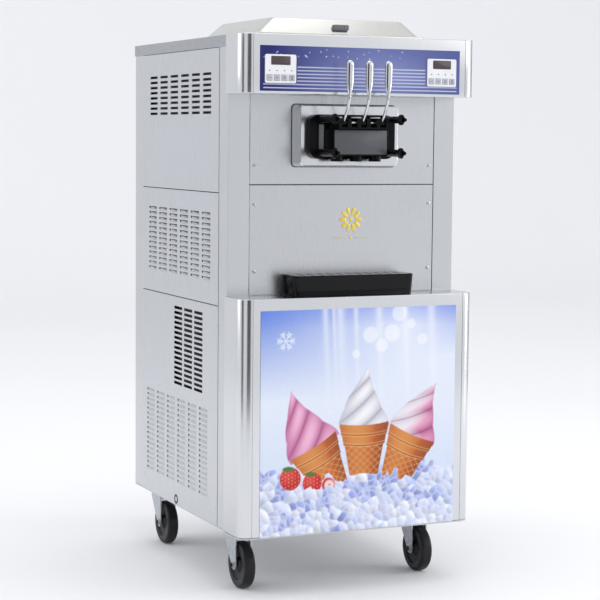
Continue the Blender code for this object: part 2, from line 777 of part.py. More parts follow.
def build_face_plate():
    """The raised pressing around the cylinder mouths, with the door's four studs."""
    half, tall = FACE_PLATE_WIDTH / 2, FACE_PLATE_HEIGHT / 2
    middle = HEAD_Z + FACE_PLATE_SHIFT
    flare_x, flare_z = FACE_PLATE_FLARE
    wall, edge = FACE_PLATE_WALL, FACE_PLATE_EDGE

    def ring(grow_x, grow_z, y):
        low = (-half - grow_x, middle - tall - grow_z)
        high = (half + grow_x, middle + tall + grow_z)
        return [Vector((x, y, z)) for x, z in rounded(low, high, FACE_PLATE_RADIUS)]

    loops = [
        ring(-wall, -wall, wall - FACE_PLATE_REACH),
        ring(flare_x - wall, flare_z - wall, PANEL_RECESS - GAP),
        ring(flare_x, flare_z, PANEL_RECESS - GAP),
        ring(0, 0, edge - FACE_PLATE_REACH),
        ring(-edge, -edge, -FACE_PLATE_REACH),
    ]
    plate = piece("head_face_plate", loft(loops), "steel")
    front = FACE_PLATE_REACH + CUT_PAST
    necks = [
        disc("Y", (sign * CYLINDER_PITCH / 2, 0, HEAD_Z), CYLINDER_NECK + RUNNING, -front, CUT_PAST, 24)
        for _, sign in SIDES
    ]
    cut(plate, gather(necks))
    root = wall / 2 - FACE_PLATE_REACH
    studs = [
        disc("Y", (x, 0, z), STUD_RADIUS, -FACE_PLATE_REACH - STUD_REACH, root, 12)
        for _, (x, z) in stud_places()
    ]
    fuse(plate, gather(studs))


def valve_places():
    """The three draw valves, from left to right."""
    for i, name in enumerate(("left", "middle", "right")):
        yield name, (i - 1) * VALVE_PITCH


def build_door():
    """The dispensing head: flange, valve block, three nozzles and the bracket that holds the levers."""
    back = -(FACE_PLATE_REACH + GAP)
    half, tall = DOOR_WIDTH / 2, DOOR_HEIGHT / 2
    outline = rounded((-half, HEAD_Z - tall), (half, HEAD_Z + tall), DOOR_RADIUS, 4)
    door = piece("dispensing_head", prism(outline, "Y", DOOR_FACE, back), "black")
    lap = DOOR_FACE + DOOR_THICKNESS / 2
    block = rounded((-BLOCK_WIDTH / 2, BLOCK_BOTTOM), (BLOCK_WIDTH / 2, BLOCK_TOP), BLOCK_RADIUS)
    fuse(door, prism(block, "Y", DOOR_FACE - BLOCK_REACH, lap))
    bracket = box(
        (-BRACKET_WIDTH / 2, DOOR_FACE - BRACKET_REACH, BLOCK_TOP - FUSE_LAP),
        (BRACKET_WIDTH / 2, lap, BRACKET_TOP),
    )
    fuse(door, bracket)
    nozzles = [
        disc("Z", (x, VALVE_Y, 0), NOZZLE_RADIUS, NOZZLE_BOTTOM, BLOCK_BOTTOM + FUSE_LAP, 16)
        for _, x in valve_places()
    ]
    fuse(door, gather(nozzles))
    low = NOZZLE_BOTTOM - CUT_PAST
    bores = [
        disc("Z", (x, VALVE_Y, 0), VALVE_RADIUS + RUNNING, low, BRACKET_TOP + CUT_PAST, 16)
        for _, x in valve_places()
    ]
    cut(door, gather(bores))
    front, top = DOOR_FACE - BRACKET_REACH - CUT_PAST, BRACKET_TOP + CUT_PAST
    slot_floor = BLOCK_TOP + LEVER_SLOT_FLOOR
    reach = LEVER_SLOT / 2
    slots = [
        box((x - reach, front, slot_floor), (x + reach, VALVE_Y, top)) for _, x in valve_places()
    ]
    cut(door, gather(slots))
    arch_back = VALVE_Y - VALVE_RADIUS - ARCH_WALL
    arches = [
        box((x - reach, front, slot_floor), (x + reach, arch_back, top))
        for x in (-VALVE_PITCH / 2, VALVE_PITCH / 2)
    ]
    cut(door, gather(arches))
    cut(door, disc("X", (0, PIVOT.y, PIVOT.z), PIVOT_RADIUS + RUNNING, -BRACKET_WIDTH, BRACKET_WIDTH, 10))
    holes = [
        disc("Y", (x, 0, z), STUD_RADIUS + RUNNING, DOOR_FACE - CUT_PAST, back + CUT_PAST, 12)
        for _, (x, z) in stud_places()
    ]
    cut(door, gather(holes))
    windows = []
    for _, sign in SIDES:
        x = sign * WINDOW_OFFSET
        low = (x - WINDOW_WIDTH / 2, HEAD_Z - WINDOW_HEIGHT / 2)
        high = (x + WINDOW_WIDTH / 2, HEAD_Z + WINDOW_HEIGHT / 2)
        outline = rounded(low, high, WINDOW_RADIUS)
        windows.append(prism(outline, "Y", DOOR_FACE - CUT_PAST, DOOR_FACE + WINDOW_DEPTH))
    cut(door, gather(windows))


def build_hand_nuts():
    """Four long nuts with four-lobed knobs, turned by hand on the studs."""
    seat = DOOR_FACE - GAP
    end = seat - NUT_LENGTH
    stud_end = -FACE_PLATE_REACH - STUD_REACH
    for name, (x, z) in stud_places():
        nut = piece(f"hand_nut_{name}", disc("Y", (x, 0, z), NUT_RADIUS, end, seat, 12), "black", (x, seat, z))
        lobes = []
        for i in range(24):
            angle = math.tau * i / 24
            radius = KNOB_RADIUS + KNOB_LOBE * math.cos(4 * angle)
            lobes.append((x + radius * math.cos(angle), z + radius * math.sin(angle)))
        fuse(nut, prism(lobes, "Y", end - KNOB_PROUD, end - KNOB_PROUD + KNOB_LENGTH))
        low = stud_end - NUT_END_PLAY
        cut(nut, disc("Y", (x, 0, z), STUD_RADIUS + RUNNING, low, seat + CUT_PAST, 12))


def lever_path():
    """The lever's rod and grip, as (forward, up, half width, half depth) from the pivot."""
    stations = []
    steps = 14
    for i in range(steps + 1):
        up = GRIP_TOP * (1 - (1 - i / steps) ** 1.35)
        bend = min(up / GRIP_START, 1)
        lean = ROD_LEAN * (0.90 * math.sin(bend * math.pi / 2) + 0.10 * up / GRIP_TOP)
        along = max((up - GRIP_START) / (GRIP_TOP - GRIP_START), 0)
        taper = math.sin(min(along / 0.45, 1) * math.pi / 2)
        dome = math.sqrt(max(1 - max((along - 0.85) / 0.16, 0) ** 2, 0))
        width = ROD_RADIUS + (GRIP_HALF_WIDTH - ROD_RADIUS) * taper
        depth = ROD_RADIUS + (GRIP_HALF_DEPTH - ROD_RADIUS) * taper
        stations.append((lean, up, width * dome, depth * dome))
    return stations


def lever_shape(x):
    """One lever's rod and grip, swept along its path."""
    stations = lever_path()
    loops = []
    for i, (lean, up, width, depth) in enumerate(stations):
        before, after = stations[max(i - 1, 0)], stations[min(i + 1, len(stations) - 1)]
        tangent = Vector((0, before[0] - after[0], after[1] - before[1])).normalized()
        normal = Vector((0, tangent.z, -tangent.y))
        centre = PIVOT + Vector((x, -lean, up))
        loops.append(
            [centre + Vector((a * width, 0, 0)) + normal * (b * depth) for a, b in circle((0, 0), 1, 10)]
        )
    return loft(loops)


def build_levers():
    """The draw levers, each turning on the pivot pin and lifting one valve plunger."""
    thickness = LEVER_SLOT - 2 * LEVER_SIDE_PLAY
    for name, x in valve_places():
        at = PIVOT + Vector((x, 0, 0))
        knuckle = disc("X", at, KNUCKLE_RADIUS, -thickness / 2, thickness / 2, 16)
        lever = piece(f"lever_{name}", knuckle, "chrome", at)
        fuse(lever, lever_shape(x))
        arm = box(
            (x - ARM_WIDTH / 2, PIVOT.y, PIVOT.z - ARM_THICKNESS / 2),
            (x + ARM_WIDTH / 2, PIVOT.y + LEVER_ARM, PIVOT.z + ARM_THICKNESS / 2),
        )
        fuse(lever, arm)
        tip = (x, PIVOT.y + LEVER_ARM, PIVOT.z)
        fuse(lever, disc("X", tip, TIP_RADIUS, -TIP_RADIUS, TIP_RADIUS, 10))
        cut(lever, disc("X", at, PIVOT_RADIUS + RUNNING, -LEVER_SLOT, LEVER_SLOT, 10))


def build_plungers():
    """The valve pistons that open the nozzles, each with a window for its lever's tip."""
    for name, x in valve_places():
        at = (x, VALVE_Y, NOZZLE_BOTTOM)
        top = BRACKET_TOP + PLUNGER_PROUD - NOZZLE_BOTTOM
        rod = disc("Z", at, VALVE_RADIUS, PLUNGER_RECESS, top, 16)
        plunger = piece(f"valve_plunger_{name}", rod, "white", at)
        half = TIP_RADIUS + PLUNGER_WINDOW_PLAY
        window = box(
            (x - half, VALVE_Y - 2 * VALVE_RADIUS, PIVOT.z - PLUNGER_WINDOW_DOWN),
            (x + half, VALVE_Y + VALVE_RADIUS / 2, PIVOT.z + PLUNGER_WINDOW_UP),
        )
        cut(plunger, window)


def build_pin():
    """The pin that the three levers turn on."""
    half = BRACKET_WIDTH / 2 + PIN_PROUD
    piece("lever_pin", disc("X", (0, PIVOT.y, PIVOT.z), PIVOT_RADIUS, -half, half, 10), "chrome")


def build_controls():
    """The printed overlay, and on each side a keypad with four keys in its holes."""
    z0 = HEADER_BOTTOM + OVERLAY_RISE
    half = OVERLAY_WIDTH / 2
    overlay = box((-half, OVERLAY_FACE, z0), (half, HEADER_FACE - GAP, z0 + OVERLAY_HEIGHT))
    piece("control_overlay", overlay, "overlay")
    for side, sign in SIDES:
        x = sign * KEYPAD_OFFSET
        low_z = HEADER_BOTTOM + KEYPAD_RISE
        low, high = (x - KEYPAD_WIDTH / 2, low_z), (x + KEYPAD_WIDTH / 2, low_z + KEYPAD_HEIGHT)
        outline = rounded(low, high, KEYPAD_RADIUS, 2)
        keypad = piece(f"keypad_{side}", prism(outline, "Y", KEYPAD_FACE, OVERLAY_FACE - GAP), "white")
        holes = []
        for i in range(4):
            key_x = x + (i - 1.5) * KEY_PITCH
            key_z = low_z + KEY_RISE
            reach_x, reach_z = KEY_WIDTH / 2, KEY_HEIGHT / 2
            holes.append(
                box(
                    (key_x - reach_x - GAP, KEYPAD_FACE - CUT_PAST, key_z - reach_z - GAP),
                    (key_x + reach_x + GAP, OVERLAY_FACE, key_z + reach_z + GAP),
                )
            )
            front = KEYPAD_FACE - KEY_PROUD
            key = box(
                (key_x - reach_x, front, key_z - reach_z),
                (key_x + reach_x, front + KEY_THICKNESS, key_z + reach_z),
            )
            piece(f"key_{side}_{i + 1}", key, "key", (key_x, front, key_z))
        cut(keypad, gather(holes))


def build_tray():
    """The drip tray on the ledge and the slotted grille that drops into its mouth."""
    half = TRAY_WIDTH / 2
    bottom, top = LEDGE + GAP, LEDGE + GAP + TRAY_HEIGHT
    seat = top - GRILLE_SHEET - GAP

    def outline(inset):
        low, high = (inset - half, inset - TRAY_REACH), (half - inset, -GAP - inset)
        plan = rounded(low, high, max(TRAY_RADIUS - inset, TRAY_LEDGE))
        return [(x * (1 + TRAY_FLARE / half * (1 + y / TRAY_REACH)), y) for x, y in plan]

    def ring(inset, z):
        return [Vector((x, y, z)) for x, y in outline(inset)]

    ledge = TRAY_WALL + TRAY_LEDGE
    loops = [
        ring(TRAY_TAPER, bottom),
        ring(0, top),
        ring(TRAY_WALL, top),
        ring(TRAY_WALL, seat),
        ring(ledge, seat),
        ring(ledge, bottom + TRAY_WALL),
    ]
    piece("drip_tray", loft(loops), "black")
    grille = piece("drip_grille", prism(outline(TRAY_WALL + GAP), "Z", seat + GAP, top), "black")
    depth = TRAY_REACH - 2 * (ledge + GRILLE_MARGIN)
    middle = -TRAY_REACH / 2
    pitch = (TRAY_WIDTH - 4 * ledge) / GRILLE_SLOTS
    slots = []
    for i in range(GRILLE_SLOTS):
        x = (i - (GRILLE_SLOTS - 1) / 2) * pitch
        low = (x - GRILLE_SLOT_WIDTH / 2, middle - depth / 2, seat - CUT_PAST)
        high = (x + GRILLE_SLOT_WIDTH / 2, middle + depth / 2, top + CUT_PAST)
        slots.append(box(low, high))
    cut(grille, gather(slots))


def build_poster():
    """The printed panel on the front of the lower casing."""
    half = POSTER_WIDTH / 2
    back = -LOWER_REACH - GAP
    low = (-half, back - POSTER_SHEET, PAN_TOP + GAP)
    piece("poster_panel", box(low, (half, back, LEDGE - POSTER_MARGIN)), "poster")


def build_cylinders():
    """The freezing cylinders: a jacketed barrel with a neck that the door closes."""
    back = CYLINDER_LENGTH
    step = PANEL_RECESS + SHEET + JACKET_SETBACK
    for side, sign in SIDES:
        profile = [
            (CYLINDER_BORE, -FACE_PLATE_REACH),
            (CYLINDER_NECK, -FACE_PLATE_REACH),
            (CYLINDER_NECK, step),
            (CYLINDER_JACKET, step),
            (CYLINDER_JACKET, back),
            (SHAFT_RADIUS + RUNNING, back),
            (SHAFT_RADIUS + RUNNING, back - CYLINDER_WALL),
            (CYLINDER_BORE, back - CYLINDER_WALL),
        ]
        centre = (sign * CYLINDER_PITCH / 2, 0, HEAD_Z)
        cylinder = piece(f"freezing_cylinder_{side}", turned(profile, "Y", centre, 24), "steel")
        place = (centre[0], HOPPER_SETBACK + FEED_SETBACK, HEAD_Z)
        inlet = disc("Z", place, FEED_RADIUS - HOPPER_WALL, 0, CYLINDER_JACKET + CUT_PAST, 16)
        cut(cylinder, inlet)


def helix_blade(centre, start, end):
    """A flat helical blade, wound about the shaft."""
    steps = BEATER_TURNS * 12
    inner, half = SHAFT_RADIUS / 2, BLADE_THICKNESS / 2
    loops = []
    for i in range(steps + 1):
        angle = math.tau * BEATER_TURNS * i / steps
        y = start + (end - start) * i / steps
        out = Vector((math.cos(angle), 0, math.sin(angle)))
        corners = ((inner, -half), (BEATER_RADIUS, -half), (BEATER_RADIUS, half), (inner, half))
        loops.append([Vector(centre) + out * r + Vector((0, y + d, 0)) for r, d in corners])
    return loft(loops)


def build_beaters():
    """The scraper and auger that turns in each cylinder, on a shaft that ends in the gearbox."""
    front = BEATER_END_PLAY - FACE_PLATE_REACH
    end = CYLINDER_LENGTH - CYLINDER_WALL - BEATER_END_PLAY
    for side, sign in SIDES:
        centre = (sign * CYLINDER_PITCH / 2, 0, HEAD_Z)
        shaft = disc("Y", centre, SHAFT_RADIUS, front, CYLINDER_LENGTH + SHAFT_TAIL, 20)
        beater = piece(f"beater_{side}", shaft, "white", centre)
        fuse(beater, helix_blade(centre, front + BLADE_THICKNESS, end))


def build_drive():
    """The gearbox behind the cylinders with a motor for each beater."""
    start = CYLINDER_LENGTH + GEARBOX_GAP
    half = CYLINDER_PITCH / 2 + CYLINDER_JACKET
    low = (-half, start, HEAD_Z - GEARBOX_HEIGHT / 2)
    high = (half, start + GEARBOX_LENGTH, HEAD_Z + GEARBOX_HEIGHT / 2)
    drive = piece("drive_unit", box(low, high), "iron")
    motors, sockets = [], []
    for _, sign in SIDES:
        centre = (sign * CYLINDER_PITCH / 2, start + GEARBOX_LENGTH, HEAD_Z)
        motors.append(disc("Y", centre, MOTOR_RADIUS, -FUSE_LAP, MOTOR_LENGTH))
        mouth = (centre[0], start, HEAD_Z)
        sockets.append(disc("Y", mouth, SHAFT_RADIUS + RUNNING, -CUT_PAST, SHAFT_TAIL, 20))
    fuse(drive, gather(motors))
    cut(drive, gather(sockets))


def build_cooling():
    """The compressor, the finned condenser with its fan motor, and the fan."""
    foot = PAN_TOP + GAP
    radius, height = COMPRESSOR_RADIUS, COMPRESSOR_HEIGHT
    centre = Vector((HALF_BODY - COMPRESSOR_SIDE, BODY_DEPTH - COMPRESSOR_SETBACK, foot))
    rings = ((1.10, 0), (1.10, 0.004), (0.90, 0.006), (1, 0.030), (1, height - 0.030), (0.55, height))
    loops = []
    for share, z in rings:
        loops.append([centre + Vector((a, b, z)) for a, b in circle((0, 0), radius * share, 24)])
    compressor = piece("compressor", loft(loops), "iron")
    port = centre + Vector((radius / 2, 0, height / 2))
    fuse(compressor, disc("X", port, PORT_RADIUS, 0, radius / 2 + PORT_REACH, 12))
    x0 = CONDENSER_SIDE - HALF_BODY
    x1 = x0 + CONDENSER_THICKNESS
    y0 = PANEL_FRONT + CONDENSER_SETBACK
    pitch = CONDENSER_LENGTH / CONDENSER_FINS
    web, fin = CONDENSER_WEB, pitch * 0.45
    outline = [(x1, y0), (x1, y0 + CONDENSER_LENGTH - pitch + fin)]
    for i in reversed(range(CONDENSER_FINS)):
        y = y0 + i * pitch
        outline += [(x0, y + fin), (x0, y)]
        if i:
            outline += [(x1 - web, y), (x1 - web, y - pitch + fin)]
    condenser = piece("condenser", prism(outline, "Z", foot, foot + CONDENSER_HEIGHT), "copper")
    hub = Vector((x1, y0 + CONDENSER_LENGTH / 2, foot + CONDENSER_HEIGHT / 2))
    fuse(condenser, disc("X", hub, FAN_MOTOR_RADIUS, -FUSE_LAP, FAN_MOTOR_LENGTH, 20))
    fan_at = hub + Vector((FAN_MOTOR_LENGTH + FAN_GAP, 0, 0))
    reach = FAN_HUB_LENGTH / 2
    fan = piece("condenser_fan", disc("X", fan_at, FAN_HUB_RADIUS, -reach, reach, 20), "plastic", fan_at)
    blades = []
    for i in range(FAN_BLADES):
        angle = math.tau * i / FAN_BLADES
        out = Vector((0, math.cos(angle), math.sin(angle)))
        along = Vector((0, -math.sin(angle), math.cos(angle)))
        loops = []
        for reach, width, twist in ((0.015, 0.012, 0.9), (0.060, 0.030, 0.55), (FAN_RADIUS, 0.036, 0.35)):
            chord = along * math.cos(twist) + Vector((math.sin(twist), 0, 0))
            chord.normalize()
            thick = out.cross(chord) * 0.0012
            middle = fan_at + out * reach + Vector((0.002, 0, 0))
            corners = ((-1, -1), (1, -1), (1, 1), (-1, 1))
            loops.append([middle + chord * (a * width / 2) + thick * b for a, b in corners])
        blades.append(loft(loops))
    fuse(fan, gather(blades))


def build_fork(name, place):
    """A caster's swivelling fork with its axle."""
    top = BODY_BOTTOM - PAN_SHEET - GAP
    fork = piece(f"caster_fork_{name}", disc("Z", place, CROWN_RADIUS, top - CROWN_HEIGHT, top), "zinc", place)
    inner = WHEEL_WIDTH / 2 + WHEEL_SIDE_PLAY
    axle_y = place.y - CASTER_TRAIL
    back, front = place.y + CROWN_RADIUS, place.y - CROWN_RADIUS - LEG_REACH
    bridge_low = 2 * WHEEL_RADIUS + WHEEL_TOP_PLAY
    bridge_high = top - CROWN_HEIGHT + FUSE_LAP
    bridge = box(
        (place.x - inner - FORK_SHEET, front, bridge_low),
        (place.x + inner + FORK_SHEET, back, bridge_high),
    )
    fuse(fork, bridge)
    foot = AXLE_HEAD + LEG_MARGIN
    leg = [
        (front, bridge_high),
        (axle_y - foot, AXLE_Z + 2 * foot),
        *arc((axle_y, AXLE_Z), foot, 180, 330, 4),
        (back, bridge_low),
        (back, bridge_high),
    ]
    for start in (-inner - FORK_SHEET, inner):
        fuse(fork, prism(leg, "X", place.x + start, place.x + start + FORK_SHEET))
    reach = inner + FORK_SHEET + AXLE_PROUD
    axle = (place.x, axle_y, AXLE_Z)
    fuse(fork, disc("X", axle, AXLE_RADIUS, -reach, reach, 12))


def build_wheel(name, place):
    """A caster wheel with a round tread and a dished hub."""
    half = WHEEL_WIDTH / 2
    edge = WHEEL_EDGE - half
    profile = [
        (AXLE_RADIUS + RUNNING, -half),
        (HUB_RADIUS, -half),
        (DISH_START, WHEEL_DISH - half),
        (DISH_END, WHEEL_DISH - half),
        (DISH_END + 2 * WHEEL_EDGE, edge),
        (WHEEL_RADIUS - WHEEL_SHOULDER, edge),
        (WHEEL_RADIUS, WHEEL_SHOULDER - half),
    ]
    profile += [(r, -along) for r, along in reversed(profile)]
    axle = Vector((place.x, place.y - CASTER_TRAIL, AXLE_Z))
    piece(f"caster_wheel_{name}", turned(profile, "X", axle, 24), "rubber", axle)


def build_casters():
    """Four swivel casters under the pan."""
    for name, place in caster_places():
        build_fork(name, place)
        build_wheel(name, place)


def main():
    """Clears the scene and builds every sub-part."""
    for old in list(bpy.data.objects):
        bpy.data.objects.remove(old, do_unlink=True)
    machine = bpy.data.objects.new("machine", None)
    bpy.context.scene.collection.objects.link(machine)
    front_end = PIVOT.y - max(lean + depth for lean, _, _, depth in lever_path())
    machine.location = (0, -(front_end + BACK_END) / 2, 0)
    build_pan()
    build_chassis()
    build_side_panels()
    build_gland()
    build_back_panel()
    build_top_cover()
    build_hopper()
    build_lid()
    front_shell("header_casing", HEADER_BOTTOM, BODY_TOP, HEADER_REACH, "steel")
    front_shell("lower_casing", PAN_TOP + GAP, LEDGE, LOWER_REACH, "steel")
    build_front_panels()
    build_face_plate()
    build_door()
    build_hand_nuts()
    build_levers()
    build_plungers()
    build_pin()
    build_controls()
    build_tray()
    build_poster()
    build_cylinders()
    build_beaters()
    build_drive()
    build_cooling()
    build_casters()


main()
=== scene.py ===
"""Looks of a floor-standing soft serve machine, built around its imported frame.

Lengths are metres, X runs to the right, Y from the serving front to the back and Z up from the floor.
"""

from __future__ import annotations

import json
import logging
import math
from dataclasses import dataclass, replace
from enum import Enum

import bmesh
import bpy
import numpy as np
from mathutils import Matrix, Vector

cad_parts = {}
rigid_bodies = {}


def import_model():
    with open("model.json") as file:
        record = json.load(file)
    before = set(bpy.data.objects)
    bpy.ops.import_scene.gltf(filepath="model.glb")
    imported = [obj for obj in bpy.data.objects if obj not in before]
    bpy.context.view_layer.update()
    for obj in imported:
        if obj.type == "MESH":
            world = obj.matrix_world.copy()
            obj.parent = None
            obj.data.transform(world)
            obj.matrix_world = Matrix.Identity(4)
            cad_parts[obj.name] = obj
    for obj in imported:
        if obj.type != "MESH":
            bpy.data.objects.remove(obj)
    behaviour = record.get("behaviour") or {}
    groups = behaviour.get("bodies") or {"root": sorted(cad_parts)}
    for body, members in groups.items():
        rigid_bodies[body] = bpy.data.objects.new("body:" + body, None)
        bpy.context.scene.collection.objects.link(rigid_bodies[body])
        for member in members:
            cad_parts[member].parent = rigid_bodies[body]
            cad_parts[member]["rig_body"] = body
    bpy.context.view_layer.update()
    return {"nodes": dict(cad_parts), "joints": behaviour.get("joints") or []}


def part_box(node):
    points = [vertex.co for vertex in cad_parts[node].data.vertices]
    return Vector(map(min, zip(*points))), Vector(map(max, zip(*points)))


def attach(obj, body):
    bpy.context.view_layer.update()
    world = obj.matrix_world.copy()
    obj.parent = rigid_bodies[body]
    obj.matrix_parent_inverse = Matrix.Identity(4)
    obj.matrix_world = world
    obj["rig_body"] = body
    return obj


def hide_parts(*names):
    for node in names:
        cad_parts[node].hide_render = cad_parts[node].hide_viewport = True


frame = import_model()
CABINET = "cabinet"
PAPER = 0.90
SCREEN_POWER = 2.2
LOG = logging.getLogger("soft_serve_machine")
Array = np.ndarray
Colour = tuple[float, float, float]


class Axis(Enum):
    """The direction that a shape is pushed or turned along, with the order of its coordinates."""

    X = (2, 0, 1)
    Y = (0, 2, 1)
    Z = (0, 1, 2)


class Grain(Enum):
    """How far the brushing of a sheet stretches along X, Y and Z."""

    UPRIGHT = (700.0, 700.0, 9.0)
    ALONG_DEPTH = (700.0, 9.0, 700.0)
    ACROSS = (9.0, 700.0, 700.0)


# ---------------------------------------------------------------- shapes


@dataclass
class Shape:
    """Points and faces in metres; faces is a list of arrays, each with one row for a face."""

    points: Array
    faces: list[Array]

    @staticmethod
    def joined(shapes: list[Shape]) -> Shape:
        """Several shapes as one, with the face numbers shifted past the earlier points.

        Args:
            shapes: the shapes to put together.

        Returns:
            One shape with every point and face.
        """
        starts = np.cumsum([0] + [len(shape.points) for shape in shapes[:-1]])
        faces = [part + start for shape, start in zip(shapes, starts) for part in shape.faces]
        return Shape(np.concatenate([shape.points for shape in shapes]), faces)

    def moved(self, x: float = 0.0, y: float = 0.0, z: float = 0.0) -> Shape:
        """The shape shifted by a distance along each axis."""
        return Shape(self.points + np.array([x, y, z]), self.faces)

    def along(self, axis: Axis) -> Shape:
        """The shape with its local (across, up, along) coordinates laid out for an axis."""
        return Shape(self.points[:, list(axis.value)], self.faces)

    def facing(self) -> Shape:
        """The shape with its local Z turned to -Y, so that it stands out of the front."""
        return Shape(self.points[:, [0, 2, 1]] * [1, -1, 1], self.faces)

    def sideways(self, sign: int) -> Shape:
        """The shape with its local Z turned to X, or to -X for a sign of -1."""
        return Shape(self.points[:, [2, 0, 1]] * [sign, 1, 1], self.faces)

    def repeated(self, places: Array) -> Shape:
        """A copy at each of the places, added by broadcasting places to points.

        Args:
            places: one row of x, y, z for each copy.

        Returns:
            One shape that holds every copy.
        """
        count = len(self.points)
        points = (places[:, None, :] + self.points[None, :, :]).reshape(-1, 3)
        steps = np.arange(len(places))[:, None, None] * count
        return Shape(points, [(part[None] + steps).reshape(-1, part.shape[1]) for part in self.faces])

    def mesh(self, name: str) -> bpy.types.Mesh:
        """Writes the arrays into a new mesh.

        Args:
            name: the mesh's name.

        Returns:
            The mesh, with its edges worked out.
        """
        made = bpy.data.meshes.new(name)
        counts = np.concatenate([np.full(len(part), part.shape[1]) for part in self.faces])
        corners = np.concatenate([part.ravel() for part in self.faces]).astype(np.int32)
        made.vertices.add(len(self.points))
        made.loops.add(len(corners))
        made.polygons.add(len(counts))
        made.vertices.foreach_set("co", self.points.astype(np.float32).ravel())
        made.loops.foreach_set("vertex_index", corners)
        starts = np.concatenate([[0], np.cumsum(counts)[:-1]]).astype(np.int32)
        made.polygons.foreach_set("loop_start", starts)
        made.update(calc_edges=True)
        made.validate()
        return made


def grid_shape(points: Array, close_rows: bool = False, close_columns: bool = False) -> Shape:
    """Quads over a grid of points: face (i, j) joins rows i and i+1 and columns j and j+1.

    Args:
        points: rows x columns x 3.
        close_rows: joins the last row to the first.
        close_columns: joins the last column to the first.

    Returns:
        The surface.
    """
    rows, columns = points.shape[:2]
    numbers = np.arange(rows * columns).reshape(rows, columns)
    if close_rows:
        numbers = np.vstack([numbers, numbers[:1]])
    if close_columns:
        numbers = np.hstack([numbers, numbers[:, :1]])
    corners = [numbers[:-1, :-1], numbers[:-1, 1:], numbers[1:, 1:], numbers[1:, :-1]]
    return Shape(points.reshape(-1, 3), [np.stack(corners, axis=-1).reshape(-1, 4)])


def lofted(rings: Array) -> Shape:
    """A closed solid through rings of points: quads between rings and a cap over each end.

    Args:
        rings: rings x points x 3.

    Returns:
        The solid.
    """
    shape = grid_shape(rings, close_columns=True)
    count = rings.shape[1]
    first = np.arange(count)[None]
    last = first + (rings.shape[0] - 1) * count
    return Shape(shape.points, [*shape.faces, first, last])


def turned(profile: Array, sides: int = 48) -> Shape:
    """A closed ring profile of (radius, along), turned: a point is (r cos t, r sin t, along).

    Args:
        profile: points x 2, going once round the section.
        sides: how many steps make the full turn.

    Returns:
        The turned ring, around local Z.
    """
    angle = np.linspace(0, math.tau, sides, endpoint=False)[:, None]
    radius, along = profile[:, 0][None], profile[:, 1][None]
    points = np.stack([radius * np.cos(angle), radius * np.sin(angle), along + 0 * angle], axis=-1)
    return grid_shape(points, close_rows=True, close_columns=True)


def spun(profile: Array, sides: int = 48) -> Shape:
    """A solid turned about local Z from an open profile of (radius, along), with its ends capped.

    Args:
        profile: points x 2, from one end to the other.
        sides: how many steps make the full turn.

    Returns:
        The turned solid.
    """
    angle = np.linspace(0, math.tau, sides, endpoint=False)[None]
    radius, along = profile[:, 0][:, None], profile[:, 1][:, None]
    return lofted(np.stack([radius * np.cos(angle), radius * np.sin(angle), along + 0 * angle], axis=-1))


def rounded_outline(width: float, height: float, radius: float, steps: int = 6) -> Array:
    """A rectangle with round corners, as points on four quarter circles.

    Args:
        width: size across.
        height: size up.
        radius: corner radius.
        steps: intervals in each quarter.

    Returns:
        Points x 2, going round once.
    """
    radius = max(min(radius, width / 2, height / 2), 1e-5)
    quarter = np.linspace(0, math.pi / 2, steps + 1)
    angles = (np.arange(4)[:, None] * math.pi / 2 + quarter[None]).ravel()
    side_x = np.repeat([1, -1, -1, 1], steps + 1) * (width / 2 - radius)
    side_y = np.repeat([1, 1, -1, -1], steps + 1) * (height / 2 - radius)
    return np.stack([side_x + radius * np.cos(angles), side_y + radius * np.sin(angles)], axis=-1)


def upright_ring(outline: Array, y: float, z: float) -> Array:
    """An outline stood upright at one Y, with its middle at one Z."""
    return np.column_stack([outline[:, 0], np.full(len(outline), y), outline[:, 1] + z])


def soft_levels(low: float, high: float, edge: float, steps: int = 3) -> tuple[Array, Array]:
    """Insets and levels of a block whose two end edges are rounded by quarter circles.

    Args:
        low: where the block starts.
        high: where it ends.
        edge: radius of the rounding.
        steps: intervals in each quarter.

    Returns:
        The inset of the outline and its level, for each ring.
    """
    turn = np.linspace(0, math.pi / 2, steps + 1)
    inset = edge * (1 - np.sin(turn))
    rise = edge * (1 - np.cos(turn))
    return np.concatenate([inset, inset[::-1]]), np.concatenate([low + rise, high - rise[::-1]])


def soft_block(width: float, height: float, radius: float, low: float, high: float, edge: float) -> Shape:
    """A block with round corners and rounded end edges, along local Z.

    Args:
        width: size across.
        height: size up.
        radius: corner radius of the outline.
        low: where it starts along.
        high: where it ends along.
        edge: rounding of its end edges.

    Returns:
        The solid: each ring is the outline drawn in by the quarter circle's inset.
    """
    rings = []
    for inset, level in zip(*soft_levels(low, high, edge)):
        outline = rounded_outline(width - 2 * inset, height - 2 * inset, radius - inset)
        rings.append(np.column_stack([outline, np.full(len(outline), level)]))
    return lofted(np.array(rings))


def box_block(low: Vector, high: Vector, axis: Axis, radius: float, edge: float) -> Shape:
    """A soft block that fills a box, its outline across one axis.

    Args:
        low: lowest corner.
        high: highest corner.
        axis: the axis that the outline is pushed along.
        radius: corner radius of the outline.
        edge: rounding of the end edges.

    Returns:
        The solid, in place.
    """
    order = {Axis.X: (1, 2, 0), Axis.Y: (0, 2, 1), Axis.Z: (0, 1, 2)}[axis]
    size = [high[i] - low[i] for i in order]
    shape = soft_block(size[0], size[1], radius, -size[2] / 2, size[2] / 2, edge)
    middle = [(high[i] + low[i]) / 2 for i in range(3)]
    return shape.along(axis).moved(*middle)


# ---------------------------------------------------------------- finishes


